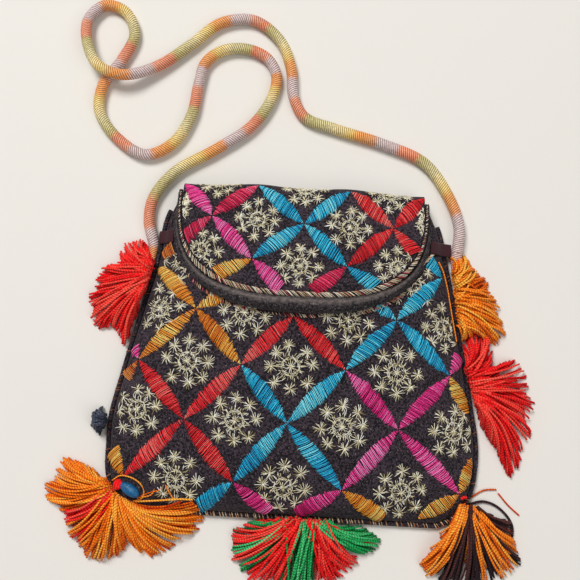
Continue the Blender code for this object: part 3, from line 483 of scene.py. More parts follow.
def face_quads(rows, columns):
    """Faces of a grid of points, facing up."""
    index = np.arange(rows * columns).reshape(rows, columns)
    quads = np.stack([index[:-1, :-1], index[:-1, 1:], index[1:, 1:], index[1:, :-1]], -1)
    return index, quads.reshape(-1, 4)


def pucker_cloth():
    """Cloth simulation of the front: held at its seams and, less firmly, under the petals, a little
    too big, and pushed out from inside. Returns how far each point of the grid rose."""
    x, y = cloth_grid(row_places(), column_shares())
    z = pillow(x, y)
    mesh = bpy.data.meshes.new("front_trial")
    mesh.from_pydata(np.stack([x, y, z], axis=-1).reshape(-1, 3), [], face_quads(*x.shape)[1])
    trial = add_object("front_trial", mesh)
    hold = np.exp(-(petal_distance(x, y) / (3.5 * MM)) ** 2) * 0.75
    hold[[0, -1], :] = 1.0
    hold[:, [0, -1]] = 1.0
    hold = np.round(hold, 1).ravel()
    group = trial.vertex_groups.new(name="sewn")
    for level in np.unique(hold):
        group.add(np.flatnonzero(hold == level).tolist(), float(level), "REPLACE")
    cloth = trial.modifiers.new("cloth", "CLOTH").settings
    cloth.quality = 6
    cloth.mass = 0.2
    cloth.tension_stiffness = cloth.compression_stiffness = 12.0
    cloth.bending_stiffness = 0.4
    cloth.shrink_min = -0.02
    cloth.use_pressure = True
    cloth.uniform_pressure_force = 3.0
    cloth.vertex_group_mass = "sewn"
    cloth.effector_weights.gravity = 0.0
    for step in range(1, PUCKER_STEPS + 1):
        bpy.context.scene.frame_set(step)
    settled = trial.evaluated_get(bpy.context.evaluated_depsgraph_get())
    after = np.zeros(x.size * 3, dtype=np.float32)
    settled.data.vertices.foreach_get("co", after)
    rise = after.reshape(*x.shape, 3)[..., 2] - z
    bpy.context.scene.frame_set(1)
    bpy.data.objects.remove(trial, do_unlink=True)
    edge = np.minimum(1.0, (1 - np.abs(column_shares())) / 0.06)[None, :]
    return np.clip(rise, -PUCKER_LIMIT, PUCKER_LIMIT) * edge


pucker = pucker_cloth()


def pucker_at(x, y):
    """The simulated rise at any plan point, read between the four nearest points of the grid."""
    rows, columns = row_places(), column_shares()
    left, right = side_x(y, -1), side_x(y, 1)
    across = np.clip((2 * x - left - right) / (right - left), -1.0, 1.0)
    i = np.clip(np.searchsorted(rows, y) - 1, 0, len(rows) - 2)
    j = np.clip(np.searchsorted(columns, across) - 1, 0, len(columns) - 2)
    s = np.clip((y - rows[i]) / (rows[i + 1] - rows[i]), 0.0, 1.0)
    t = np.clip((across - columns[j]) / (columns[j + 1] - columns[j]), 0.0, 1.0)
    low = pucker[i, j] * (1 - t) + pucker[i, j + 1] * t
    high = pucker[i + 1, j] * (1 - t) + pucker[i + 1, j + 1] * t
    return low * (1 - s) + high * s


def on_front(x, y):
    """A point on the front's outer face."""
    return np.stack([x, y, pillow(x, y) + pucker_at(x, y)], axis=-1)


def shell(top, bottom):
    """A closed cloth from two grids of points with equal rows: face, back and the rim between."""
    index, face = face_quads(*top.shape[:2])
    count = index.size
    loop = np.concatenate([index[0], index[1:, -1], index[-1, -2::-1], index[-2:0:-1, 0]])
    after = np.roll(loop, -1)
    rim = np.stack([loop + count, after + count, after, loop], -1)
    quads = np.concatenate([face, face[:, ::-1] + count, rim])
    points = np.concatenate([top.reshape(-1, 3), bottom.reshape(-1, 3)])
    uv = points[quads][..., :2] / MM
    return points, quads, uv, np.full(len(points), 0.5)


def wear_and_highlight_streak(cord, ground, worn_highlight):
    """A pale streak along a cord, partly rubbed wear and partly a painted highlight on its upper
    side:
    1 - 6 |u - 0.3| round it, broken up by noise drawn out along the run."""
    drawn = cord.add("Mapping", cord.add("UVMap", uv_map="UVMap"), None, None, (16.0, 0.35, 1.0))
    streaks = cord.add("TexNoise", drawn, None, 1.0, 4.0)
    # Painted highlight as well as wear: the streak is centred on the cord's upper side, where the
    # light falls.
    off = cord.math("ABSOLUTE", cord.math("SUBTRACT", cord.turn_and_run()[0], 0.3))
    band = cord.math("SUBTRACT", cord.math("MULTIPLY_ADD", off, -6.0, 1.0), 1.15)
    band = cord.math("MULTIPLY_ADD", streaks, 1.6, band)
    band = cord.ramp(band, (0.0, (0, 0, 0, 1)), (0.9, (1, 1, 1, 1)))
    return cord.blend("MIX", band, ground, worn_highlight)


def felt_finish(name, dark, light, lint, worn_highlight=None):
    """Brushed black felt: fine mottling, specks of lint and, if asked, a pale streak of rubbed wear
    and painted highlight.
    """
    cloth = Finish(name, 0.92, sheen=0.08, specular=0.2)
    fine = cloth.cloudy(800.0, 5.0)
    worn = cloth.math("MULTIPLY", cloth.cloudy(45.0, 3.0), 0.16)
    both = cloth.math("MULTIPLY_ADD", fine, 0.86, worn)
    ground = cloth.ramp(both, (0.45, dark), (0.585, light))
    if worn_highlight:
        # A pale streak that is partly rubbed wear and partly a painted highlight.
        ground = wear_and_highlight_streak(cloth, ground, worn_highlight)
    fluff = cloth.ramp(cloth.cloudy(2200.0, 1.0, (1.0, 0.45, 1.0)), (0.67, (0, 0, 0, 1)),
                       (0.76, (1, 1, 1, 1)))
    return cloth.done(cloth.blend("MIX", fluff, ground, lint), fine, 0.6 * MM, 0.9)


def finer(places, count):
    """The same run of places in count steps."""
    return np.interp(np.linspace(0, len(places) - 1, count), np.arange(len(places)), places)


felt = felt_finish("black_felt", rgb(10, 8, 12), rgb(62, 51, 60), rgb(134, 122, 126))
cloth_x, cloth_y = cloth_grid(finer(row_places(), FINE_GRID[0]),
                              finer(column_shares(), FINE_GRID[1]))
front_face = on_front(cloth_x, cloth_y)
front_inside = np.stack([cloth_x, cloth_y, pillow(cloth_x, cloth_y) - FRONT_THICK], axis=-1)
front_cloth = make_piece("front_cloth", [shell(front_face, front_inside)], felt,
                         ["front_panel"])


# Back: plain felt, 2 mm thick, flat on the floor, with the two linings and the slip pocket inside.
# The linings are thin woven cotton, sewn in at the mouth and hidden by the flap.
def woven_finish(name, dark, light, threads_per_metre):
    """Plain weave: sines across and along the cloth multiply to a checker of thread crossings."""
    weave = Finish(name, 0.85, sheen=0.15, specular=0.3)
    place = weave.add("SeparateXYZ", weave.add("TexCoord", out="Object")).node.outputs
    turns = threads_per_metre * math.pi
    warp, weft = (weave.math("SINE", weave.math("MULTIPLY", side, turns)) for side in place[:2])
    cross = weave.math("MULTIPLY_ADD", weave.math("MULTIPLY", warp, weft), 0.5, 0.5)
    uneven = weave.math("MULTIPLY_ADD", weave.cloudy(300.0, 3.0), 0.6, cross)
    return weave.done(weave.ramp(uneven, (0.2, dark), (1.1, light)), cross, 0.15 * MM, 0.7)


def paint_node(name, material):
    """Give a hidden CAD piece that stays plain its material."""
    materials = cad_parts[name].data.materials
    materials.clear()
    materials.append(material)


lining_weave = woven_finish("lining_cloth", rgb(42, 36, 40), rgb(84, 76, 80), 1800.0)
BACK_TOP_Y = FOLD_Y - GAP


def back_shell():
    """The flat back: a grid like the front's that ends at the fold, its edge rounded by drawing
    both faces together over the last millimetre."""
    x, y = cloth_grid(np.linspace(BOTTOM_Y, BACK_TOP_Y, 60), column_shares()[::2])
    inset = np.minimum.reduce([np.abs(x - side_x(y, -1)), np.abs(side_x(y, 1) - x),
                               y - BOTTOM_Y, BACK_TOP_Y - y])
    thin = 0.35 * np.clip(1 - inset / (1.2 * MM), 0.0, 1.0) ** 2
    top = np.stack([x, y, BACK_THICK * (1 - thin)], axis=-1)
    bottom = np.stack([x, y, BACK_THICK * thin], axis=-1)
    return shell(top, bottom)


back_cloth = make_piece("back_cloth", [back_shell()], felt, ["back_panel"])
lining_rows = np.linspace(BOTTOM_Y + 4 * MM, MOUTH_Y - 4 * MM, 50)
lining_x, lining_y = cloth_grid(lining_rows, column_shares()[::2] * 0.955)
lining_top = pillow(lining_x, lining_y) - FRONT_THICK - LINING_GAP
lining_faces = [np.stack([lining_x, lining_y, level], -1)
                for level in (lining_top, lining_top - LINING_THICK)]
make_piece("front_lining_cloth", [shell(*lining_faces)], lining_weave,
           ["front_lining"])
for name in ("back_lining", "inner_pocket"):
    paint_node(name, lining_weave)


# Flap: the same felt, half round, folded over the mouth from the back's top edge.
# A thin cotton lining is sewn inside it, a little smaller all round.
FLAP_HALF_WIDTH = 77.0 * MM
FLAP_DROP = 65.5 * MM
FLAP_POWER = 2.8
FLAP_THICK = 2.0 * MM
FLAP_CLEARANCE = 3.0 * MM
FOLD_BULGE = 6.0 * MM
FOLD_WRAP = 24.0 * MM
FOLD_SAG = 2.2 * MM
FLAP_INSET = 2.9 * MM


def flap_waves(x, y):
    """Soft ripples of the flap's cloth, up to 0.5 mm, dying out at the fold."""
    ripple = np.sin(x / (13 * MM) + 0.7) * np.sin(y / (11 * MM))
    ripple = ripple + 0.6 * np.sin((x + 1.7 * y) / (17 * MM))
    return 0.3 * MM * ripple * np.clip((FOLD_Y - y) / (20 * MM), 0.0, 1.0)


def on_flap(x, y, depth=0.0):
    """A point on the flap's outer face, or under it. Short of the fold it lies over the front by
    the clearance, linings and cloth; past it the cloth turns half an ellipse to the back. The
    ellipse is narrower between the petals' tips, by the squared cosine of x over 56 mm."""
    over = np.clip((y - FOLD_Y) / FOLD_WRAP, 0.0, 1.0) * math.pi
    bulge = FOLD_BULGE - FOLD_SAG * np.cos(math.pi * x / (56 * MM)) ** 2
    flat_y = np.minimum(y, FOLD_Y)
    top = pillow(x, flat_y) + FLAP_CLEARANCE + LINING_THICK + LINING_GAP + FLAP_THICK
    top = top + flap_waves(x, flat_y)
    z = np.where(over > 0, top / 2 + (top / 2 - depth) * np.cos(over), top - depth)
    return np.stack([x, flat_y + (bulge - depth) * np.sin(over), z], axis=-1)


def flap_grid(inset, wrap, rows, columns):
    """Plan grid of the flap: columns across, rows from the rounded edge, a superellipse of power
    2.8, up to the fold and round it."""
    half = FLAP_HALF_WIDTH - inset
    x = half * np.sin(np.linspace(-1.0, 1.0, columns) * math.pi / 2)
    edge = FOLD_Y - (FLAP_DROP - inset) * (1 - (np.abs(x) / half) ** FLAP_POWER) ** (1 / FLAP_POWER)
    share = np.linspace(0.0, 1.0, rows)[:, None]
    y = edge[None, :] + (FOLD_Y + wrap - edge[None, :]) * share
    return np.broadcast_to(x[None, :], y.shape), y


flap_x, flap_y = flap_grid(FLAP_INSET, FOLD_WRAP, 84, 110)
flap_faces = [on_flap(flap_x, flap_y, depth) for depth in (0.0, FLAP_THICK)]
flap_cloth = make_piece("flap_cloth", [shell(*flap_faces)], felt, ["flap_panel"])
liner_x, liner_y = flap_grid(FLAP_INSET + 3 * MM, FOLD_WRAP - 2 * LINING_THICK, 50, 60)
liner_depth = FLAP_THICK + LINING_GAP
liner_faces = [on_flap(liner_x, liner_y, depth)
               for depth in (liner_depth, liner_depth + LINING_THICK)]
make_piece("flap_lining_cloth", [shell(*liner_faces)], lining_weave,
           ["flap_lining"])


# Petals: satin stitch in shiny rayon, one thread beside the other from one edge of the petal to
# the other. The stitches stand up in the middle and dive into the cloth at both ends.
STITCH_PITCH = 0.8 * MM
PETAL_HALF_WIDTH = 4.75 * MM
LENS_POWER = 0.92
PETAL_HEIGHT = 1.3 * MM
THREAD_WIDE = 0.29 * MM
THREAD_HIGH = 0.26 * MM
FLAP_NODES = {
    "a1": (-54.6, 79.0), "a2": (0.8, 76.0), "a3": (54.5, 77.4),
    "b1": (-28.7, 52.6), "b2": (27.1, 51.0),
    "t0": (-73.8, 103.0), "t1": (-28.0, 101.0), "t2": (28.0, 100.0), "t3": (74.5, 101.5),
    "s0": (-81.6, 55.3), "s3": (79.6, 51.6),
    "u1": (-61.0, 36.5), "u2": (-2.8, 27.6), "u3": (-0.4, 27.7), "u4": (57.6, 32.0)}
FLAP_PETALS = read_petals(
    "a1 t0 magenta, a1 t1 crimson, a1 s0 crimson, a1 b1 magenta, a2 t1 blue, a2 t2 blue, "
    "a2 b1 blue, a2 b2 blue, a3 t2 red, a3 t3 red, a3 b2 red, a3 s3 red, b1 u1 gold, "
    "b1 u2 magenta, b2 u3 crimson, b2 u4 blue")
# Dark, middle and light dye of each floss; noise flecks towards the light one are painted glints.
RAYON = {
    "gold": (rgb(206, 92, 10), rgb(253, 160, 40), rgb(255, 234, 132)),
    "rust": (rgb(134, 50, 8), rgb(214, 98, 24), rgb(248, 168, 78)),
    "red": (rgb(200, 8, 22), rgb(254, 36, 46), rgb(255, 132, 122)),
    "blue": (rgb(0, 124, 180), rgb(26, 198, 240), rgb(150, 246, 255)),
    "magenta": (rgb(190, 10, 98), rgb(254, 52, 152), rgb(255, 156, 214)),
    "crimson": (rgb(164, 4, 52), rgb(240, 24, 84), rgb(255, 118, 154))}


def within_flap(x, y, outset):
    """Plan points inside the flap's superellipse when that is moved out by outset."""
    half, drop = FLAP_HALF_WIDTH + outset, FLAP_DROP + outset
    below = np.clip((FOLD_Y - y) / drop, 0.0, 9.0)
    return np.abs(x / half) ** FLAP_POWER + below ** FLAP_POWER < 1


def inside_front(x, y):
    """Plan points on the front, clear of its seams and not under the flap."""
    open_side = (x > side_x(y, -1) + 1.6 * MM) & (x < side_x(y, 1) - 1.6 * MM)
    open_side = open_side & (y > BOTTOM_Y + 1.2 * MM) & (y < MOUTH_Y - 1 * MM)
    return open_side & ~within_flap(x, y, 5 * MM)


def inside_flap(x, y):
    """Plan points on the flap, clear of its overcast edge."""
    return within_flap(x, y, -3 * MM) & (y < FOLD_Y + 15 * MM)


def lifted(surface, x, y, lift):
    """Points raised along a surface's normal, the cross product of its slopes, and the normals."""
    step = 0.5 * MM
    along_x = surface(x + step, y) - surface(x - step, y)
    along_y = surface(x, y + step) - surface(x, y - step)
    normal = unit(np.cross(along_x, along_y))
    return surface(x, y) + normal * lift[..., None], normal


def satin_stitches(start, end, rng):
    """Plan lines, lifts and shades of one petal's threads. The half width is that of a lens,
    1 - (2t - 1)^2, and each stitch leans a little; its arch is 1 - |u|^2.4 across the petal."""
    a, b = np.array(start) * MM, np.array(end) * MM
    length = np.linalg.norm(b - a)
    axis = (b - a) / length
    across = np.array([-axis[1], axis[0]])
    count = int((length - 1 * MM) / STITCH_PITCH)
    t = (np.arange(count) + 0.5) / count
    reach = 0.5 * MM + (length - 1 * MM) * t + rng.normal(0.0, 0.13 * MM, count)
    lens = (1 - (2 * t - 1) ** 2) ** LENS_POWER
    half = PETAL_HALF_WIDTH * min(1.0, length / (27 * MM)) * np.maximum(lens, 0.06)
    ragged = 0.36 * MM * np.minimum(1.0, lens * 2)
    lean = rng.uniform(0.14, 0.36) * rng.choice([-1, 1])
    u = np.linspace(-1.0, 1.0, 8)
    left = half + rng.normal(0.0, 1.0, count) * ragged
    right = half + rng.normal(0.0, 1.0, count) * ragged
    out = np.where(u[None, :] > 0, left[:, None], right[:, None]) * u[None, :]
    slide = reach[:, None] + (lean + rng.normal(0.0, 0.03, count)[:, None]) * out
    line = a + slide[..., None] * axis + out[..., None] * across
    high = PETAL_HEIGHT * (half / PETAL_HALF_WIDTH) ** 0.8 + rng.normal(0.0, 0.12 * MM, count)
    lift = high[:, None] * (1 - np.abs(u[None, :]) ** 2.4) - 0.28 * MM * np.abs(u[None, :]) ** 6
    tone = 0.52 + 0.18 * np.sin(6.3 * (t * rng.uniform(0.6, 1.3) + rng.uniform()))
    tone = tone + rng.normal(0, 0.1) + rng.normal(0, 0.17, count)
    return line, lift, np.clip(tone, 0.02, 0.98)


def sew_petals(nodes, petals, surface, inside, seed):
    """Threads of each colour on one panel, with the threads that miss the panel left out."""
    rng = np.random.default_rng(seed)
    sewn = {}
    for start, end, colour in petals:
        line, lift, tone = satin_stitches(nodes[start], nodes[end], rng)
        keep = inside(line[..., 0], line[..., 1]).mean(axis=1) > 0.6
        if keep.any():
            line, lift, tone = line[keep], lift[keep], tone[keep]
            points, normal = lifted(surface, line[..., 0], line[..., 1], lift)
            threads = sweep(points, THREAD_WIDE, THREAD_HIGH, 4, normal, tone)
            sewn.setdefault(colour, []).append(threads)
    return sewn


def rayon_finish(name, colours):
    """Shiny floss: dark, middle and light dye by the thread's shade, with noise flecks that are
    painted glints, and fine filament lines of painted shade.
    """
    floss = Finish(name, 0.4, specular=0.28)
    # Painted glints: noise flecks push the threads towards the light dye, on top of each thread's
    # own tone.
    mixed = floss.math("MULTIPLY_ADD", floss.cloudy(1100.0), 1.0, floss.shade())
    dye = floss.ramp(floss.math("SUBTRACT", mixed, 0.5), *zip((0.08, 0.52, 0.98), colours))
    # Painted shade between the filaments, and a faint painted highlight on them.
    lines = floss.twist(1, 0.9)
    filament_shade = floss.ramp(lines, (0.0, (0.8, 0.8, 0.8, 1)), (0.6, (1.06, 1.06, 1.06, 1)))
    return floss.done(floss.blend("MULTIPLY", 1.0, dye, filament_shade), lines, 0.06 * MM, 0.6)


front_sewn = sew_petals(FRONT_NODES, FRONT_PETALS, on_front, inside_front, 11)
flap_sewn = sew_petals(FLAP_NODES, FLAP_PETALS, on_flap, inside_flap, 12)
for colour, dyes in RAYON.items():
    floss = rayon_finish(colour + "_rayon", dyes)
    for place, sewn in (("front", front_sewn), ("flap", flap_sewn)):
        if colour in sewn:
            make_piece(f"{place}_petals_{colour}", sewn[colour], floss,
                       [place + "_panel"])


# Stars: straight stitches in pale gold metallic thread. A wheel of rings and spokes with a fringe
# in the middle of each square, and eight small stars round it, each of 18 uneven rays.
FRONT_STARS = [
    (-2.5, -9.3), (-31.0, 20.5), (29.0, 20.0), (58.5, -9.0), (28.5, -41.5), (94.0, -40.5),
    (-3.0, -77.0), (64.5, -76.3), (-32.5, -41.0), (87.5, 20.0), (67.0, 45.0), (-62.0, -9.0),
    (-90.0, -38.0), (-82.0, 22.0), (-70.0, 52.0), (-64.5, -76.0)]
FLAP_STARS = [(-27.0, 77.5), (28.0, 75.5), (-60.0, 56.8), (-0.5, 49.5), (57.0, 52.0),
              (-52.0, 104.0), (0.5, 100.0), (52.0, 100.0)]
FLAP_SCRIBBLES = [(-72.0, 86.0, 2.6, 7.5), (72.0, 84.0, 2.8, 8.0)]
FLAP_STAR_SCALE = 0.88
SCRIBBLE_STITCHES = 110
STAR_ORBIT = 12.2 * MM
SMALL_RAYS = 18
GOLD_WIDE = 0.21 * MM
# rings: radius in mm, stitches, turn of each stitch, unevenness; spokes: from and to, count, bend
WHEEL_RINGS = [(5.5, 18, 0.44, 0.14), (4.9, 16, 0.5, 0.16), (4.3, 8, 0.5, 0.3),
               (0.9, 5, 1.5, 0.15)]
WHEEL_SPOKES = [(0.3, 2.9, 15, 0.08), (3.2, 4.8, 13, 0.15), (5.6, 7.6, 28, 0.1),
                (6.6, 8.8, 14, 0.12)]


def straight_stitches(start, end, lift):
    """Plan lines from start to end in three points, and their low arch."""
    share = np.array([0.0, 0.5, 1.0])[None, :, None]
    line = start[:, None] + (end - start)[:, None] * share
    return line, np.array([0.02 * MM, lift, 0.05 * MM]) * np.ones((len(start), 1))


def around(centre, radius, angle):
    """Points on a circle in plan."""
    outward = np.stack([np.cos(angle), np.sin(angle)], axis=-1)
    return centre + outward * np.asarray(radius)[..., None]


def star_stitches(centre, scale, rng):
    """All the stitches of one motif: the small stars, and the wheel's rings, spokes and fringe."""
    centre = np.array(centre) * MM
    turn = rng.uniform(-0.12, 0.12)
    heading = np.arange(8) / 8 * 2 * math.pi + turn + rng.normal(0, 0.05, 8)
    middles = around(centre, STAR_ORBIT * scale * rng.normal(1.0, 0.04, 8), heading)
    angle = (np.arange(SMALL_RAYS) / SMALL_RAYS * 2 * math.pi)[None, :] + rng.uniform(0, 6, (8, 1))
    angle = (angle + rng.normal(0, 0.12, angle.shape)).ravel()
    hub = np.repeat(middles, SMALL_RAYS, axis=0)
    hub = hub + rng.normal(0, 0.25 * MM, hub.shape)
    reach = scale * rng.uniform(2.7, 5.0, len(angle)) * MM
    near = around(hub, np.full(len(angle), 0.1 * MM), angle)
    parts = [straight_stitches(near, around(hub, reach, angle), 0.4 * MM)]
    for radius, count, turn_by, jitter in WHEEL_RINGS:
        begin = np.arange(count) / count * 2 * math.pi + rng.normal(0, 0.1, count)
        near = around(centre, scale * (radius + rng.normal(0, jitter, count)) * MM, begin)
        far = around(centre, scale * (radius + rng.normal(0, jitter, count)) * MM, begin + turn_by)
        parts.append(straight_stitches(near, far, 0.45 * MM))
    for inner, outer, count, bend in WHEEL_SPOKES:
        begin = np.arange(count) / count * 2 * math.pi + rng.normal(0, 0.12, count)
        near = around(centre, scale * rng.normal(inner, 0.3, count) * MM, begin)
        reach = scale * rng.normal(outer, 0.5, count) * MM
        far = around(centre, reach, begin + rng.normal(0, bend, count))
        parts.append(straight_stitches(near, far, 0.4 * MM))
    line, lift = (np.concatenate(part) for part in zip(*parts))
    return line, lift + GOLD_WIDE * 0.5, np.clip(rng.normal(0.55, 0.26, len(line)), 0.0, 1.0)


def scribble(patch, rng):
    """Short crossing stitches that fill an upright oval."""
    x, y, wide, tall = np.array(patch) * MM
    angle = rng.uniform(0, 2 * math.pi, SCRIBBLE_STITCHES)
    out = np.sqrt(rng.uniform(0, 1, SCRIBBLE_STITCHES))
    start = np.column_stack([x + wide * out * np.cos(angle), y + tall * out * np.sin(angle)])
    reach = rng.uniform(1.6, 3.2, SCRIBBLE_STITCHES) * MM
    end = around(start, reach, rng.uniform(0, 6.3, SCRIBBLE_STITCHES))
    tone = rng.normal(0.6, 0.25, SCRIBBLE_STITCHES)
    return *straight_stitches(start, end, 0.4 * MM), np.clip(tone, 0.0, 1.0)


def under_petals(x, y, nodes, petals):
    """True where a plan point lies under one of the panel's petals."""
    covered = np.zeros(x.shape, dtype=bool)
    for start, end, _ in petals:
        a, b = np.array(nodes[start]) * MM, np.array(nodes[end]) * MM
        length = np.linalg.norm(b - a)
        axis = (b - a) / length
        t = ((x - a[0]) * axis[0] + (y - a[1]) * axis[1]) / length
        off = np.abs((x - a[0]) * axis[1] - (y - a[1]) * axis[0])
        lens = np.clip(1 - (2 * t - 1) ** 2, 0.0, 1.0) ** LENS_POWER
        covered |= off < 0.75 * PETAL_HALF_WIDTH * lens
    return covered


def sew_stars(made, nodes, petals, surface, inside):
    """Gold threads of one panel, with those that miss the panel or cross a petal left out."""
    line, lift, tone = (np.concatenate(part) for part in zip(*made))
    x, y = line[..., 0], line[..., 1]
    keep = inside(x, y).all(axis=1) & ~under_petals(x, y, nodes, petals).any(axis=1)
    points, normal = lifted(surface, x[keep], y[keep], lift[keep])
    return sweep(points, GOLD_WIDE, GOLD_WIDE * 0.85, 4, normal, tone[keep])


gold_thread = rayon_finish("pale_gold_thread", (rgb(150, 134, 90), rgb(244, 234, 196),
                                                rgb(255, 255, 246)))
rng = np.random.default_rng(21)
front_made = [star_stitches(centre, 1.0, rng) for centre in FRONT_STARS]
flap_made = [star_stitches(centre, FLAP_STAR_SCALE, rng) for centre in FLAP_STARS]
flap_made += [scribble(patch, rng) for patch in FLAP_SCRIBBLES]
front_sewn = sew_stars(front_made, FRONT_NODES, FRONT_PETALS, on_front, inside_front)
flap_sewn = sew_stars(flap_made, FLAP_NODES, FLAP_PETALS, on_flap, inside_flap)
make_piece("front_stars", [front_sewn], gold_thread, ["front_panel"])
make_piece("flap_stars", [flap_sewn], gold_thread, ["flap_panel"])


# Flap's edge: raw cloth whipped over with slanted stitches of cream, gold and pink thread.
# Below it a fat roll of brushed black cloth, and a thin gold and pink line where the roll meets
# the front.
OVERCAST_RADIUS = 1.3 * MM
ROLL_RADIUS_TOP = 1.4 * MM
ROLL_RADIUS_BOTTOM = 4.6 * MM
ROLL_POWER = 4.0
ROLL_POINTS = 200
TRIM_RADIUS = 1.1 * MM
TRIM_REACH_X = 66.0 * MM
CORNER_HEM = [(87.0, 74.0), (80.5, 65.5), (74.0, 58.4), (66.5, 50.0), (59.0, 43.6), (50.4, 38.2)]


def flap_edge(outset, count):
    """Plan points along the flap's superellipse, moved out by outset, at even distances."""
    angle = np.linspace(math.pi, 2 * math.pi, 400)
    c, s = np.cos(angle), np.sin(angle)
    x = (FLAP_HALF_WIDTH + outset) * np.sign(c) * np.abs(c) ** (2 / FLAP_POWER)
    y = FOLD_Y - (FLAP_DROP + outset) * np.abs(s) ** (2 / FLAP_POWER)
    return even_points(np.stack([x, y], axis=1), count)


def plan_normals(line):
    """Level normals on the right-hand side of a line, as seen from above."""
    run = unit(np.gradient(line[:, :2], axis=0))
    return np.column_stack([run[:, 1], -run[:, 0], np.zeros(len(line))])


def roll_radius(y):
    """The roll is fattest at the flap's lowest point and thins to the power 4 towards the fold."""
    low = np.clip((FOLD_Y - y) / FLAP_DROP, 0.0, 1.0)
    return ROLL_RADIUS_TOP + (ROLL_RADIUS_BOTTOM - ROLL_RADIUS_TOP) * low ** ROLL_POWER


def resting_line(line, radius, clearance):
    """Centres of a cord that rests on the front along a plan line, raised more where it's steep."""
    step = 1.0 * MM
    x, y = line[:, 0], line[:, 1]
    slope_x = (pillow(x + step, y) - pillow(x - step, y)) / (2 * step)
    slope_y = (pillow(x, y + step) - pillow(x, y - step)) / (2 * step)
    steep = np.minimum(np.sqrt(1 + slope_x ** 2 + slope_y ** 2), 1.6)
    return np.stack([x, y, pillow(x, y) + (radius + clearance) * steep], axis=1)


def edge_stitches(line, rng, radius, slant, pitch, reach, full=1.0):
    """Slanted stitches over a round edge: each goes round the tube from reach[0] to reach[1] half
    turns, and slides along it by slant while it does. Where full is below 1 both are shorter."""
    along = distances(line)
    count = int(along[-1] / pitch)
    begin = (np.arange(count) + rng.normal(0, 0.3, count)) * pitch
    size = np.interp(begin, along, np.broadcast_to(full, len(line)))
    size = size[:, None] * rng.normal(0.95, 0.16, (count, 1))
    share = np.linspace(0.0, 1.0, 7)
    place = np.clip(begin[:, None] + slant * size * share[None, :], 0.0, along[-1])
    middle, half = (reach[0] + reach[1]) / 2, (reach[1] - reach[0]) / 2
    angle = (math.pi * (middle + half * size * (2 * share - 1)))[..., None]
    centre = read_along(place, along, line)
    out = -np.cos(angle) * read_along(place, along, plan_normals(line)) + np.sin(angle) * UP
    points = centre + out * radius * rng.normal(1.0, 0.06, (count, 1, 1))
    return points, out, rng.uniform(0, 1, count)


def stitch_tones(count, pale, rng):
    """Shades of a mixed thread: a share of them pale, the rest spread over the darker dyes."""
    is_pale = rng.uniform(0, 1, count) < pale
    return np.where(is_pale, rng.uniform(0.62, 1.0, count), rng.uniform(0.0, 0.6, count))


rng = np.random.default_rng(31)
mixed_thread = rayon_finish("pink_gold_thread", (rgb(190, 52, 84), rgb(206, 168, 118),
                                                 rgb(255, 248, 226)))
edge_line = on_flap(*flap_edge(-OVERCAST_RADIUS, 320).T, FLAP_THICK / 2)
edge_full = (FOLD_Y - edge_line[:, 1]) / FLAP_DROP * 1.9 - 0.75
edge_full = 0.18 + 0.82 * np.clip(edge_full, 0.0, 1.0)
whipping, whip_up, _ = edge_stitches(edge_line, rng, radius=1.62 * MM, slant=4.8 * MM,
                                     pitch=1.3 * MM, reach=(0.04, 0.94), full=edge_full)
whip_tone = stitch_tones(len(whipping), 0.7, rng)
make_piece("flap_rim_cloth", [sweep(edge_line[::2], OVERCAST_RADIUS, OVERCAST_RADIUS, 10)], felt,
           ["flap_overcast"])
make_piece("flap_overcast_stitches", [sweep(whipping, 0.21 * MM, 0.22 * MM, 4, whip_up, whip_tone)],
           mixed_thread, ["flap_overcast"])

roll_plan = flap_edge(0.0, ROLL_POINTS)
roll_size = np.clip((FOLD_Y - roll_plan[:, 1]) / (22 * MM), 0.35, 1.0)
roll_size = roll_radius(roll_plan[:, 1]) * roll_size
roll_out = plan_normals(roll_plan)
roll_centre = roll_plan + roll_out[:, :2] * (roll_size + GAP)[:, None]
roll_line = resting_line(roll_centre, roll_size, GAP)
# The roll's pale streak is partly rubbed wear and partly a painted highlight on its upper side.
roll_felt = felt_finish("worn_highlit_roll", rgb(14, 12, 14), rgb(56, 50, 54), rgb(150, 140, 138),
                        worn_highlight=rgb(116, 106, 102))
roll_step = np.arange(ROLL_POINTS)
roll_wave = roll_size * (1 + 0.035 * np.sin(roll_step * 0.55) + 0.02 * np.sin(roll_step * 0.21))
roll = make_piece("flap_roll_cord", [sweep(roll_line, roll_wave, roll_wave, 24)], roll_felt,
                  ["flap_roll"])


def loose_fibres(places, facing, length, rng):
    """Short bent hairs that lie on a surface: each runs in a random direction across its facing,
    and its ends stand off by a little."""
    count = len(places)
    across = unit(np.cross(facing, rng.normal(0, 1, (count, 3))))
    side = np.cross(facing, across)
    share = np.linspace(-0.5, 0.5, 4)[None, :, None]
    size = length * rng.uniform(0.5, 1.4, (count, 1, 1))
    curl = rng.normal(0, 0.5, (count, 1, 1)) * size
    lift = 0.12 * MM + size * rng.uniform(0.0, 0.22, (count, 1, 1)) * (share + 0.5)
    points = places[:, None] + across[:, None] * share * size + side[:, None] * share ** 2 * curl
    return points + facing[:, None] * lift, rng.uniform(0, 1, count)


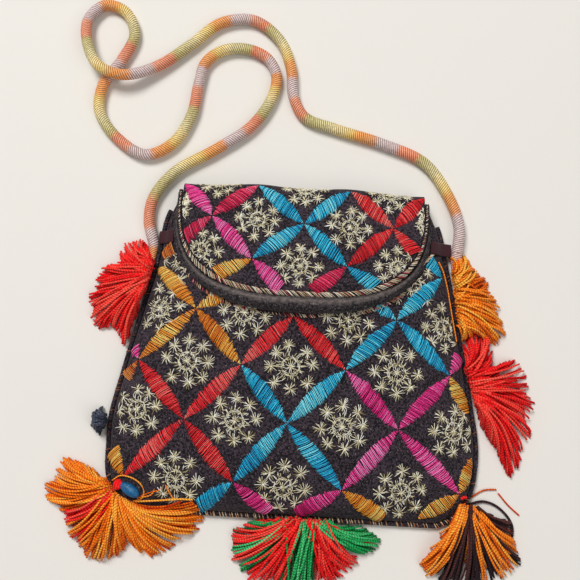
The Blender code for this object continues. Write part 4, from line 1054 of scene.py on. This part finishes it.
fibre_finish = rayon_finish("felt_fibres", (rgb(30, 26, 30), rgb(84, 74, 78), rgb(168, 154, 150)))
spot = rng.integers(4, 196, 1100)
turn = rng.uniform(0.0, math.pi, len(spot))[:, None]
roll_facing = np.cos(turn) * roll_out[spot] + np.sin(turn) * UP
fuzz_place = roll_line[spot] + roll_facing * roll_size[spot][:, None]
fuzz, fuzz_tone = loose_fibres(fuzz_place, roll_facing, 1.9 * MM, rng)
make_piece("roll_fuzz", [sweep(fuzz, 0.06 * MM, 0.06 * MM, 4, UP, fuzz_tone * 0.8)], fibre_finish,
           ["flap_roll"])
lint_x = rng.uniform(-104, 106, 1900) * MM
lint_y = rng.uniform(-90, 90, 1900) * MM
held = inside_front(lint_x, lint_y)
lint_place, lint_facing = lifted(on_front, lint_x[held], lint_y[held], np.zeros(held.sum()))
lint, lint_tone = loose_fibres(lint_place, lint_facing, 1.5 * MM, rng)
lint = sweep(lint, 0.06 * MM, 0.05 * MM, 4, lint_facing[:, None], lint_tone)
make_piece("front_lint", [lint], fibre_finish, ["front_panel"])

trim_plan = roll_plan + roll_out[:, :2] * (2 * roll_size + GAP + TRIM_RADIUS)[:, None]
trim_plan = even_points(trim_plan[np.abs(roll_plan[:, 0]) < TRIM_REACH_X], 420)
hem, hem_up, _ = edge_stitches(resting_line(trim_plan, 0.35 * MM, 0.0), rng, radius=TRIM_RADIUS,
                               slant=2.4 * MM, pitch=1.25 * MM, reach=(0.0, 1.0))
hem_kept = rng.uniform(0, 1, len(hem)) < 0.78 + 0.2 * np.sign(hem[:, 0, 0])
hem, hem_up = hem[hem_kept], hem_up[hem_kept]
corner_line = on_front(*(smooth_line(CORNER_HEM, 60)[::-1] * MM).T)
corner, corner_up, _ = edge_stitches(corner_line, rng, radius=1.9 * MM, slant=3.0 * MM,
                                     pitch=0.8 * MM, reach=(0.15, 0.85))
corner = corner - corner_up * 0.9 * MM
hem = sweep(hem, 0.29 * MM, 0.22 * MM, 4, hem_up, stitch_tones(len(hem), 0.5, rng))
corner = sweep(corner, 0.3 * MM, 0.22 * MM, 4, corner_up, stitch_tones(len(corner), 0.6, rng))
make_piece("flap_trim_stitches", [hem, corner], mixed_thread, ["flap_trim"])


# Seam: thin piping round the sides and foot, whipped with gold, pink and orange thread.
# The front's upper edge is bound with a strip of the same black cloth.
PIPING_RADIUS = 1.5 * MM
PIPING_TOP_Y = 88.0 * MM
BINDING_RADIUS = 1.3 * MM


def piping_plan(count):
    """Plan line of the piping: the body's outline moved out by its radius and a gap."""
    outline = np.vstack([SMOOTH_LEFT[::-1, ::-1], SMOOTH_RIGHT[:, ::-1]])
    outline = even_points(outline, 240)
    path = outline + plan_normals(outline)[:, :2] * (PIPING_RADIUS + GAP)
    return even_points(path[path[:, 1] < PIPING_TOP_Y], count)


seam_plan = piping_plan(420)
seam_line = np.column_stack([seam_plan, np.full(len(seam_plan), BACK_THICK / 2 + PIPING_RADIUS)])
seam, seam_up, _ = edge_stitches(seam_line, rng, radius=1.58 * MM, slant=1.8 * MM, pitch=1.9 * MM,
                                 reach=(-0.1, 0.95))
at_foot = np.clip((-70 * MM - seam[:, 0, 1]) / (20 * MM), 0.0, 1.0)
seam_kept = rng.uniform(0, 1, len(seam)) < 0.22 + 0.73 * at_foot
seam, seam_up, at_foot = seam[seam_kept], seam_up[seam_kept], at_foot[seam_kept]
seam_tone = rng.uniform(0.0, 0.5, len(at_foot)) + 0.45 * at_foot
seam_thread = rayon_finish("seam_thread", (rgb(70, 26, 26), rgb(176, 104, 56), rgb(240, 218, 176)))
make_piece("seam_piping", [sweep(seam_line[::2], PIPING_RADIUS, PIPING_RADIUS, 10)], felt,
           ["edge_piping"])
make_piece("seam_stitches", [sweep(seam, 0.27 * MM, 0.2 * MM, 4, seam_up, seam_tone)],
           seam_thread, ["edge_piping"])

binding_x = np.linspace(side_x(MOUTH_Y, -1) + 4 * MM, side_x(MOUTH_Y, 1) - 4 * MM, 60)
binding_y = np.full_like(binding_x, MOUTH_Y + GAP + BINDING_RADIUS)
binding_z = pillow(binding_x, np.full_like(binding_x, MOUTH_Y)) - FRONT_THICK / 2
binding = np.stack([binding_x, binding_y, binding_z], 1)
make_piece("mouth_binding_strip", [sweep(binding, BINDING_RADIUS, BINDING_RADIUS, 12)], felt,
           ["mouth_binding"])


# Rope ends and tabs: the strap tapers to a tip at each shoulder and is stitched down there,
# beside a strip of dark red woven cloth that comes out from under the flap.
ROPE_TIP_RADIUS = 1.5 * MM
ROPE_TIP_Y = 53.0 * MM
TAB_WIDTH = 8.0 * MM
TAB_THICK = 0.8 * MM
TAB_RISE = 1.5 * MM
TAB_CLEARANCE = 0.8 * MM
maroon_weave = woven_finish("maroon_cloth", rgb(22, 9, 13), rgb(60, 20, 30), 1500.0)
cad_route = smooth_line(strap_route, 72)


def rope_end(side, ends):
    """The rope's tip: a quadratic bow from its last point down to the seam, and its radii, which
    taper to the power 1.5."""
    away = unit(ends[0] - ends[1])
    start = ends[0] + away * GAP
    seam = side_x(ROPE_TIP_Y, side) + side * (2 * PIPING_RADIUS + 2 * GAP + ROPE_TIP_RADIUS)
    finish = np.array([float(seam), ROPE_TIP_Y, start[2]])
    bow = start + away * np.linalg.norm(finish - start) / 3
    share = np.linspace(0.0, 1.0, 41)[:, None]
    line = (1 - share) ** 2 * start + 2 * share * (1 - share) * bow + share ** 2 * finish
    return line, STRAP_RADIUS + (ROPE_TIP_RADIUS - STRAP_RADIUS) * share[:, 0] ** 1.5


def tab_strip(side, line, radii):
    """The tab's middle line from the flap's edge over the shoulder and the seam down to the rope's
    inner side, swept with a flat section."""
    tab_y = float(line[0, 1]) + TAB_RISE
    seam = float(side_x(tab_y, side))
    beside = line[:, 1] > tab_y - TAB_WIDTH
    rope_side = float(np.min(side * line[beside, 0] - radii[beside]))
    edge = flap_edge(0.0, 200)
    edge = edge[side * edge[:, 0] > 0]
    order = np.argsort(edge[:, 1])
    flap_x = float(np.interp(tab_y, edge[order, 1], edge[order, 0]))
    start = flap_x + side * (2 * float(roll_radius(tab_y)) + GAP + TAB_CLEARANCE)
    middle = (start + seam) / 2
    rim = BACK_THICK + GAP + FRONT_THICK
    y = np.array(tab_y)
    path = np.array([(start, tab_y, float(pillow(start, y)) + 3 * GAP),
                     (middle, tab_y, float(pillow(middle, y)) + 4 * GAP),
                     (seam, tab_y, rim + abs(seam - start) / 3),
                     (side * (rope_side - GAP), tab_y,
                      BACK_THICK / 2 + 2 * PIPING_RADIUS + 2 * GAP)])
    path[:, 2] += TAB_THICK / 2
    return sweep(smooth_line(path, 30), TAB_WIDTH / 2, TAB_THICK / 2, 16)


for name, side, ends, begin, change in (
        ("left", -1, cad_route[:2], 0.0, -1.0),
        ("right", 1, cad_route[::-1][:2], strap_length / MM, 0.2)):
    tip_line, tip_radii = rope_end(side, ends)
    tip_run = np.linspace(0.0, np.linalg.norm(tip_line[-1] - tip_line[0]) / MM, len(tip_line))
    tip_turns = dye_turns(begin) + change * tip_run / DYE_PERIOD_MM
    make_piece(name + "_rope_tip", [sweep(tip_line, tip_radii, tip_radii, 20, UP, tip_turns[None])],
               strap_silk, [name + "_rope_end"])
    make_piece(name + "_tab_cloth", [tab_strip(side, tip_line, tip_radii)], maroon_weave,
               [name + "_strap_tab"])


# Snap: a pair of small turned brass magnets under the flap, one on the flap and one on the front,
# with a washer inside behind the front's. It is hidden when the bag is closed.
def brass_finish():
    """Turned brass with faint wear."""
    brass = Finish("snap_brass", 0.32, metallic=1.0)
    tint = brass.ramp(brass.cloudy(500.0, 3.0), (0.3, rgb(170, 132, 72)), (0.7, rgb(206, 174, 108)))
    return brass.done(tint, brass.cloudy(1800.0), 0.05 * MM, 0.4)


snap_brass = brass_finish()
for name in ("snap_stud", "snap_socket", "snap_washer"):
    paint_node(name, snap_brass)


# Tassels: cut bundles of two-ply wool, sewn along the seam at their bound ends and spread flat.
# Each has the line where it is sewn, the edge that its tips reach, the first letters of its colours
# in order, the CAD bundles that it stands for, its tie's colour and its number of strands.
# Dark, middle and light dye of each wool; each strand's tone picks among them, and it is darker for
# lower strands, a painted shade.
WOOL = {
    "orange": (rgb(198, 56, 4), rgb(255, 126, 18), rgb(255, 190, 74)),
    "green": (rgb(8, 92, 44), rgb(24, 166, 86), rgb(92, 212, 136)),
    "red": (rgb(178, 4, 10), rgb(253, 26, 30), rgb(255, 98, 80)),
    "black": (rgb(18, 12, 16), rgb(42, 28, 34), rgb(96, 50, 44)),
    "navy": (rgb(24, 28, 44), rgb(54, 60, 80), rgb(104, 108, 122))}
FANS = {
    "left_upper": (
        [(-89.9, 52), (-91.5, 42.6), (-94.4, 33)],
        [(-92.6, 60.4), (-101, 67), (-110, 63), (-112, 52), (-122, 47), (-127, 31),
         (-126.5, 21.5), (-122, 9.4), (-112, 11.3), (-108, 6.6), (-103.7, -0.5), (-99.8, 17)],
        "r", "red", "red", 230),
    "right_middle": (
        [(102.7, -2), (106.5, -13.8), (109.1, -23)],
        [(101.4, 12), (106.8, 21), (116, 21.4), (119, 13), (121, 0), (132.5, 4.7), (140.5, -2.7),
         (141, -12), (144.8, -20), (141.8, -32), (142.5, -42.5), (131.3, -65.2), (123, -49.5),
         (113, -35.3)],
        "r", "red", "red", 260),
    "right_upper": (
        [(93.6, 55), (96.5, 36.8), (98.6, 23.4)],
        [(92.3, 67.5), (101, 68.7), (107.3, 60.2), (116, 52.5), (116.8, 46.3), (123.6, 40.4),
         (123, 33), (126.9, 21.4), (123.3, 13.3), (117.8, 14.8), (111, 19.3), (100.8, 13.8)],
        "o", "orange", "orange", 230),
    "left_lower": (
        [(-105.9, -79.6), (-100.5, -87.3), (-91.3, -91.9)],
        [(-120.7, -71.3), (-132.8, -68.6), (-142.3, -84.6), (-142.6, -92.6), (-133.5, -95.5),
         (-128.6, -103.2), (-123.3, -115.2), (-116, -122.7), (-104.3, -125.3), (-96.3, -123.8),
         (-90.8, -114), (-85.3, -117.6), (-76, -122.7), (-66.8, -116.6), (-59.4, -107.2),
         (-51.9, -106.8), (-48.5, -97), (-55, -88.9)],
        "o" * 13 + "rroor" + "o" * 28, "orange_1 orange_2 orange_3", "orange", 340),
    "bottom": (
        [(-3.6, -95.5), (6.4, -95.6), (24.5, -95.7)],
        [(-14, -97.4), (-23.7, -100.2), (-31, -105), (-29.5, -110), (-31.2, -119), (-26, -127),
         (-15.2, -132.6), (4.6, -135.5), (27.4, -130.2), (38, -123), (45.3, -116), (52.6, -111),
         (56.5, -106.4), (45.7, -98)],
        "rgrrgrrgrrrgrrrrrrgggggg" + "r" * 8 + "ggggrggg",
        "green_1 green_3 red_2 red_4", "green", 260),
    "right_lower": (
        [(101.3, -82.3), (105.4, -82.7), (110.7, -82.9)],
        [(90.4, -107.3), (77.9, -119.2), (81.5, -124.5), (93.7, -127.7), (114, -129.3),
         (125.5, -122), (138, -114.7), (134.6, -100.4), (132.2, -89.2)],
        "o" * 7 + "bbbbobbobbooobooobb", "orange_1 orange_3 black_2", "red", 190),
    "left_middle": (
        [(-110.4, -42), (-110.4, -49)],
        [(-114, -37), (-119, -41), (-119, -49), (-114, -54)],
        "n", "navy", "navy", 50)}
YARN_RADIUS = 0.62 * MM
LOCK_STRANDS = 6


def at_share(line, share):
    """Points at shares of a polyline's length."""
    along = distances(line)
    return read_along(share * along[-1], along, line)


def rest_height(x, y):
    """What a strand lies on: the front inside the seams, the floor elsewhere."""
    inside = (x > side_x(y, -1)) & (x < side_x(y, 1)) & (y > BOTTOM_Y)
    return np.where(inside, pillow(x, np.maximum(y, BOTTOM_Y)), 0.0)


def yarn_fan(base, edge, count, rng):
    """Centre lines of one tassel's strands, quadratic bows in plan from the sewn line to the fan's
    edge, which leave the seam squarely. Tips gather into locks. In height a strand climbs over its
    neighbours as 4t(1 - t)^0.7 and falls to the floor. Lower strands get a darker tone, a painted
    shade."""
    base, edge = np.array(base) * MM, np.array(edge) * MM
    share = (np.arange(count) + rng.uniform(0, 1, count)) / count
    lock = np.arange(count) // LOCK_STRANDS
    gather = ((lock + 0.5) * LOCK_STRANDS / count - share) * 0.45
    tip_share = share + gather + rng.normal(0, 0.009, count)
    start = at_share(base, np.clip(share + rng.normal(0, 0.12, count), 0.0, 1.0))
    start = start + rng.normal(0, 0.5 * MM, start.shape)
    tip = at_share(edge, np.clip(tip_share, 0.0, 1.0))
    length = rng.normal(0.97, 0.04, lock[-1] + 1)[lock] + rng.normal(0, 0.03, count)
    short = rng.uniform(0, 1, count) < 0.3
    length = np.where(short, length * rng.uniform(0.5, 0.95, count), length)
    finish = start + (tip - start) * np.minimum(length, 1.03)[:, None]
    outward = unit(edge.mean(axis=0) - base.mean(axis=0))
    leave = 0.42 * unit(finish - start) + 0.2 * outward
    bow = start + leave * np.linalg.norm(finish - start, axis=1)[:, None]
    t = np.linspace(0.0, 1.0, 14)[None, :, None]
    plan = (1 - t) ** 2 * start[:, None] + 2 * t * (1 - t) * bow[:, None] + t ** 2 * finish[:, None]
    t = t[..., 0]
    run = unit(finish - start)
    phase = t * rng.uniform(0.6, 1.8, (count, 1)) + rng.uniform(0, 1, (count, 1))
    sway = 0.5 * MM * np.sin(2 * math.pi * phase) * t
    plan = plan + np.stack([-run[:, 1], run[:, 0]], axis=-1)[:, None] * sway[..., None]
    layer = rng.uniform(0.0, 1.0, (count, 1))
    z = (3.4 + 2.4 * layer) * MM * (1 - t) + (1.0 + 4.6 * layer) * MM * (4 * t * (1 - t)) ** 0.7
    z = z + (0.7 + 3.2 * layer * (1 - t * 0.5)) * MM
    z = z + 0.3 * MM * np.sin(9 * t + rng.uniform(0, 6, (count, 1)))
    z = np.maximum(z, rest_height(plan[..., 0], plan[..., 1]) + YARN_RADIUS * (1.2 + 1.5 * layer))
    # Painted shade: strands lower in the pile get a darker tone, on top of a random one.
    tone = 0.28 + 0.36 * layer[:, 0] + rng.normal(0.0, 0.16, count)
    return np.concatenate([plan, z[..., None]], axis=-1), np.clip(tone, 0.0, 1.0)


def wool_finish(name, colours):
    """Plied wool: a twist that repeats every 1.7 mm, in bump and in colour, the colour being
    painted shade in its grooves and a painted highlight on its crests.
    """
    wool = Finish(name, 0.85, sheen=0.05, specular=0.12)
    mixed = wool.math("MULTIPLY_ADD", wool.cloudy(700.0, 3.0), 0.7, wool.shade())
    dye = wool.ramp(wool.math("SUBTRACT", mixed, 0.35), *zip((0.05, 0.45, 0.95), colours))
    ply = wool.twist(1, 1.7)
    # Painted shade in the ply's grooves and a painted highlight on its crests.
    groove_shade_and_highlight = wool.ramp(ply, (0.04, (0.56, 0.42, 0.38, 1)), (0.4, (1, 1, 1, 1)),
                       (0.98, (1.12, 1.16, 1.16, 1)))
    return wool.done(wool.blend("MULTIPLY", 1.0, dye, groove_shade_and_highlight), ply, 0.25 * MM, 0.8)


def wrapped_oval(start, finish, wide, high, tone):
    """An oval ball from pole to pole, closed at both: a sweep whose radii are a half circle's."""
    share = np.linspace(0.0, math.pi, 20)
    line = (start + finish) / 2 - np.cos(share)[:, None] * (finish - start) / 2
    radius = np.maximum(np.sin(share), 0.02)
    return sweep(line, radius * wide, radius * high, 18, UP, tone)


def loose_strand(points, thick_mm, tone):
    """One strand that lies over what is under it, through plan points in millimetres."""
    line = smooth_line(points, 40) * MM
    thick = thick_mm * MM
    rest = np.pad(rest_height(line[:, 0], line[:, 1]), 3, mode="edge")
    height = np.convolve(rest, np.full(7, 1 / 7), mode="valid") + 1.6 * thick
    return sweep(np.column_stack([line, np.maximum(height, thick)]), thick, thick, 6, UP, tone)


wools = {colour: wool_finish(colour + "_wool", dyes) for colour, dyes in WOOL.items()}
rng = np.random.default_rng(41)
for place, (base, edge, pattern, bundles, tie, count) in FANS.items():
    line, tone = yarn_fan(base, edge, count, rng)
    spot = np.arange(count) * len(pattern) / count + rng.normal(0, 0.35, count)
    owner = np.array(list(pattern))[np.clip(spot.astype(int), 0, len(pattern) - 1)]
    for colour in WOOL:
        mine = owner == colour[0]
        if mine.any():
            yarn = sweep(line[mine], YARN_RADIUS, YARN_RADIUS * 0.85, 6, UP, tone[mine])
            nodes = [f"tassel_{place}_{bundle}" for bundle in bundles.split()
                     if bundle.startswith(colour)]
            make_piece(f"{place}_{colour}_yarn", [yarn], wools[colour], nodes)
    low, high = np.array(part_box(f"tassel_{place}_head"))
    middle, half = (low + high) / 2, (high - low) / 2
    reach = np.array([half[0], 0.0, 0.0])
    tied = wrapped_oval(middle - reach, middle + reach, half[1], half[2], 0.3)
    make_piece(f"{place}_tie", [tied], wools[tie], [f"tassel_{place}_head"])


# Bead and loose ends: a ball wound with blue thread and red wool collars on the two lower corners,
# and strands of wool that have come loose. They lie on the bag and the floor, and only the scene
# has them.
BEAD_PLAN_MM = (-91.3, -83.8)
LOOSE_ORANGE = [
    ([(-102.5, -79.5), (-97.6, -76.4), (-88.6, -77.9), (-83.2, -83.0), (-84.1, -88.4),
      (-89.4, -90.6)], 0.45, 0.7),
    ([(-87.0, -88.6), (-78.4, -85.8), (-75.5, -79.5), (-71.6, -78.7), (-68.3, -83.5),
      (-65.1, -88.4)], 0.42, 0.6),
    ([(-86.0, -88.0), (-79.0, -84.6), (-74.0, -83.0), (-72.5, -80.4), (-75.5, -78.2),
      (-77.6, -81.0)], 0.4, 0.3),
    ([(-88.0, -90.7), (-74.6, -89.2), (-62.3, -87.6), (-54.4, -87.4)], 0.6, 0.8),
    ([(107.1, -79.1), (115.8, -73.5), (123.5, -72.5)], 0.5, 0.2),
    ([(124.7, -74.7), (130.6, -81.2), (137.1, -86.6)], 0.5, 0.1),
    ([(84.4, 61.4), (87.4, 56.0), (89.4, 50.0), (90.7, 45.0), (92.4, 36.0), (94.6, 24.0),
      (96.8, 13.0)], 0.4, 0.6)]
LOOSE_BLACK = [(107, -82), (116, -79.8), (125, -83), (132.8, -92.4), (131.7, -103), (124.8, -112)]
bead_z = float(pillow(*np.array(BEAD_PLAN_MM) * MM)) / MM + 1.6


def ball(start, finish, rise, wide, high):
    """An oval between two plan points, each lifted from the bead's height, all in millimetres."""
    ends = [np.array([*plan, bead_z + lift]) * MM for plan, lift in zip((start, finish), rise)]
    return wrapped_oval(*ends, wide * MM, high * MM, 0.45)


blue_wrapping = rayon_finish("blue_wrapping",
                             (rgb(8, 40, 70), rgb(16, 92, 140), rgb(110, 186, 214)))
make_piece("left_lower_bead", [ball((-97.2, -81.0), (-85.6, -87.2), (-1.5, 1.2), 3.4, 2.6)],
           blue_wrapping)
make_piece("left_lower_collar", [ball((-101.4, -80.6), (-96.6, -82.6), (-3.4, -1.0), 3.3, 2.2)],
           wools["red"])
make_piece("right_lower_collar",
           [loose_strand([(101.0, -78.4), (103.6, -77.6), (105.6, -79.0)], 0.9, 0.5)],
           wools["red"])
make_piece("loose_orange_strands", [loose_strand(*strand) for strand in LOOSE_ORANGE],
           wools["orange"])
make_piece("right_lower_loop", [loose_strand(LOOSE_BLACK, 0.8, 0.5)], wools["black"])
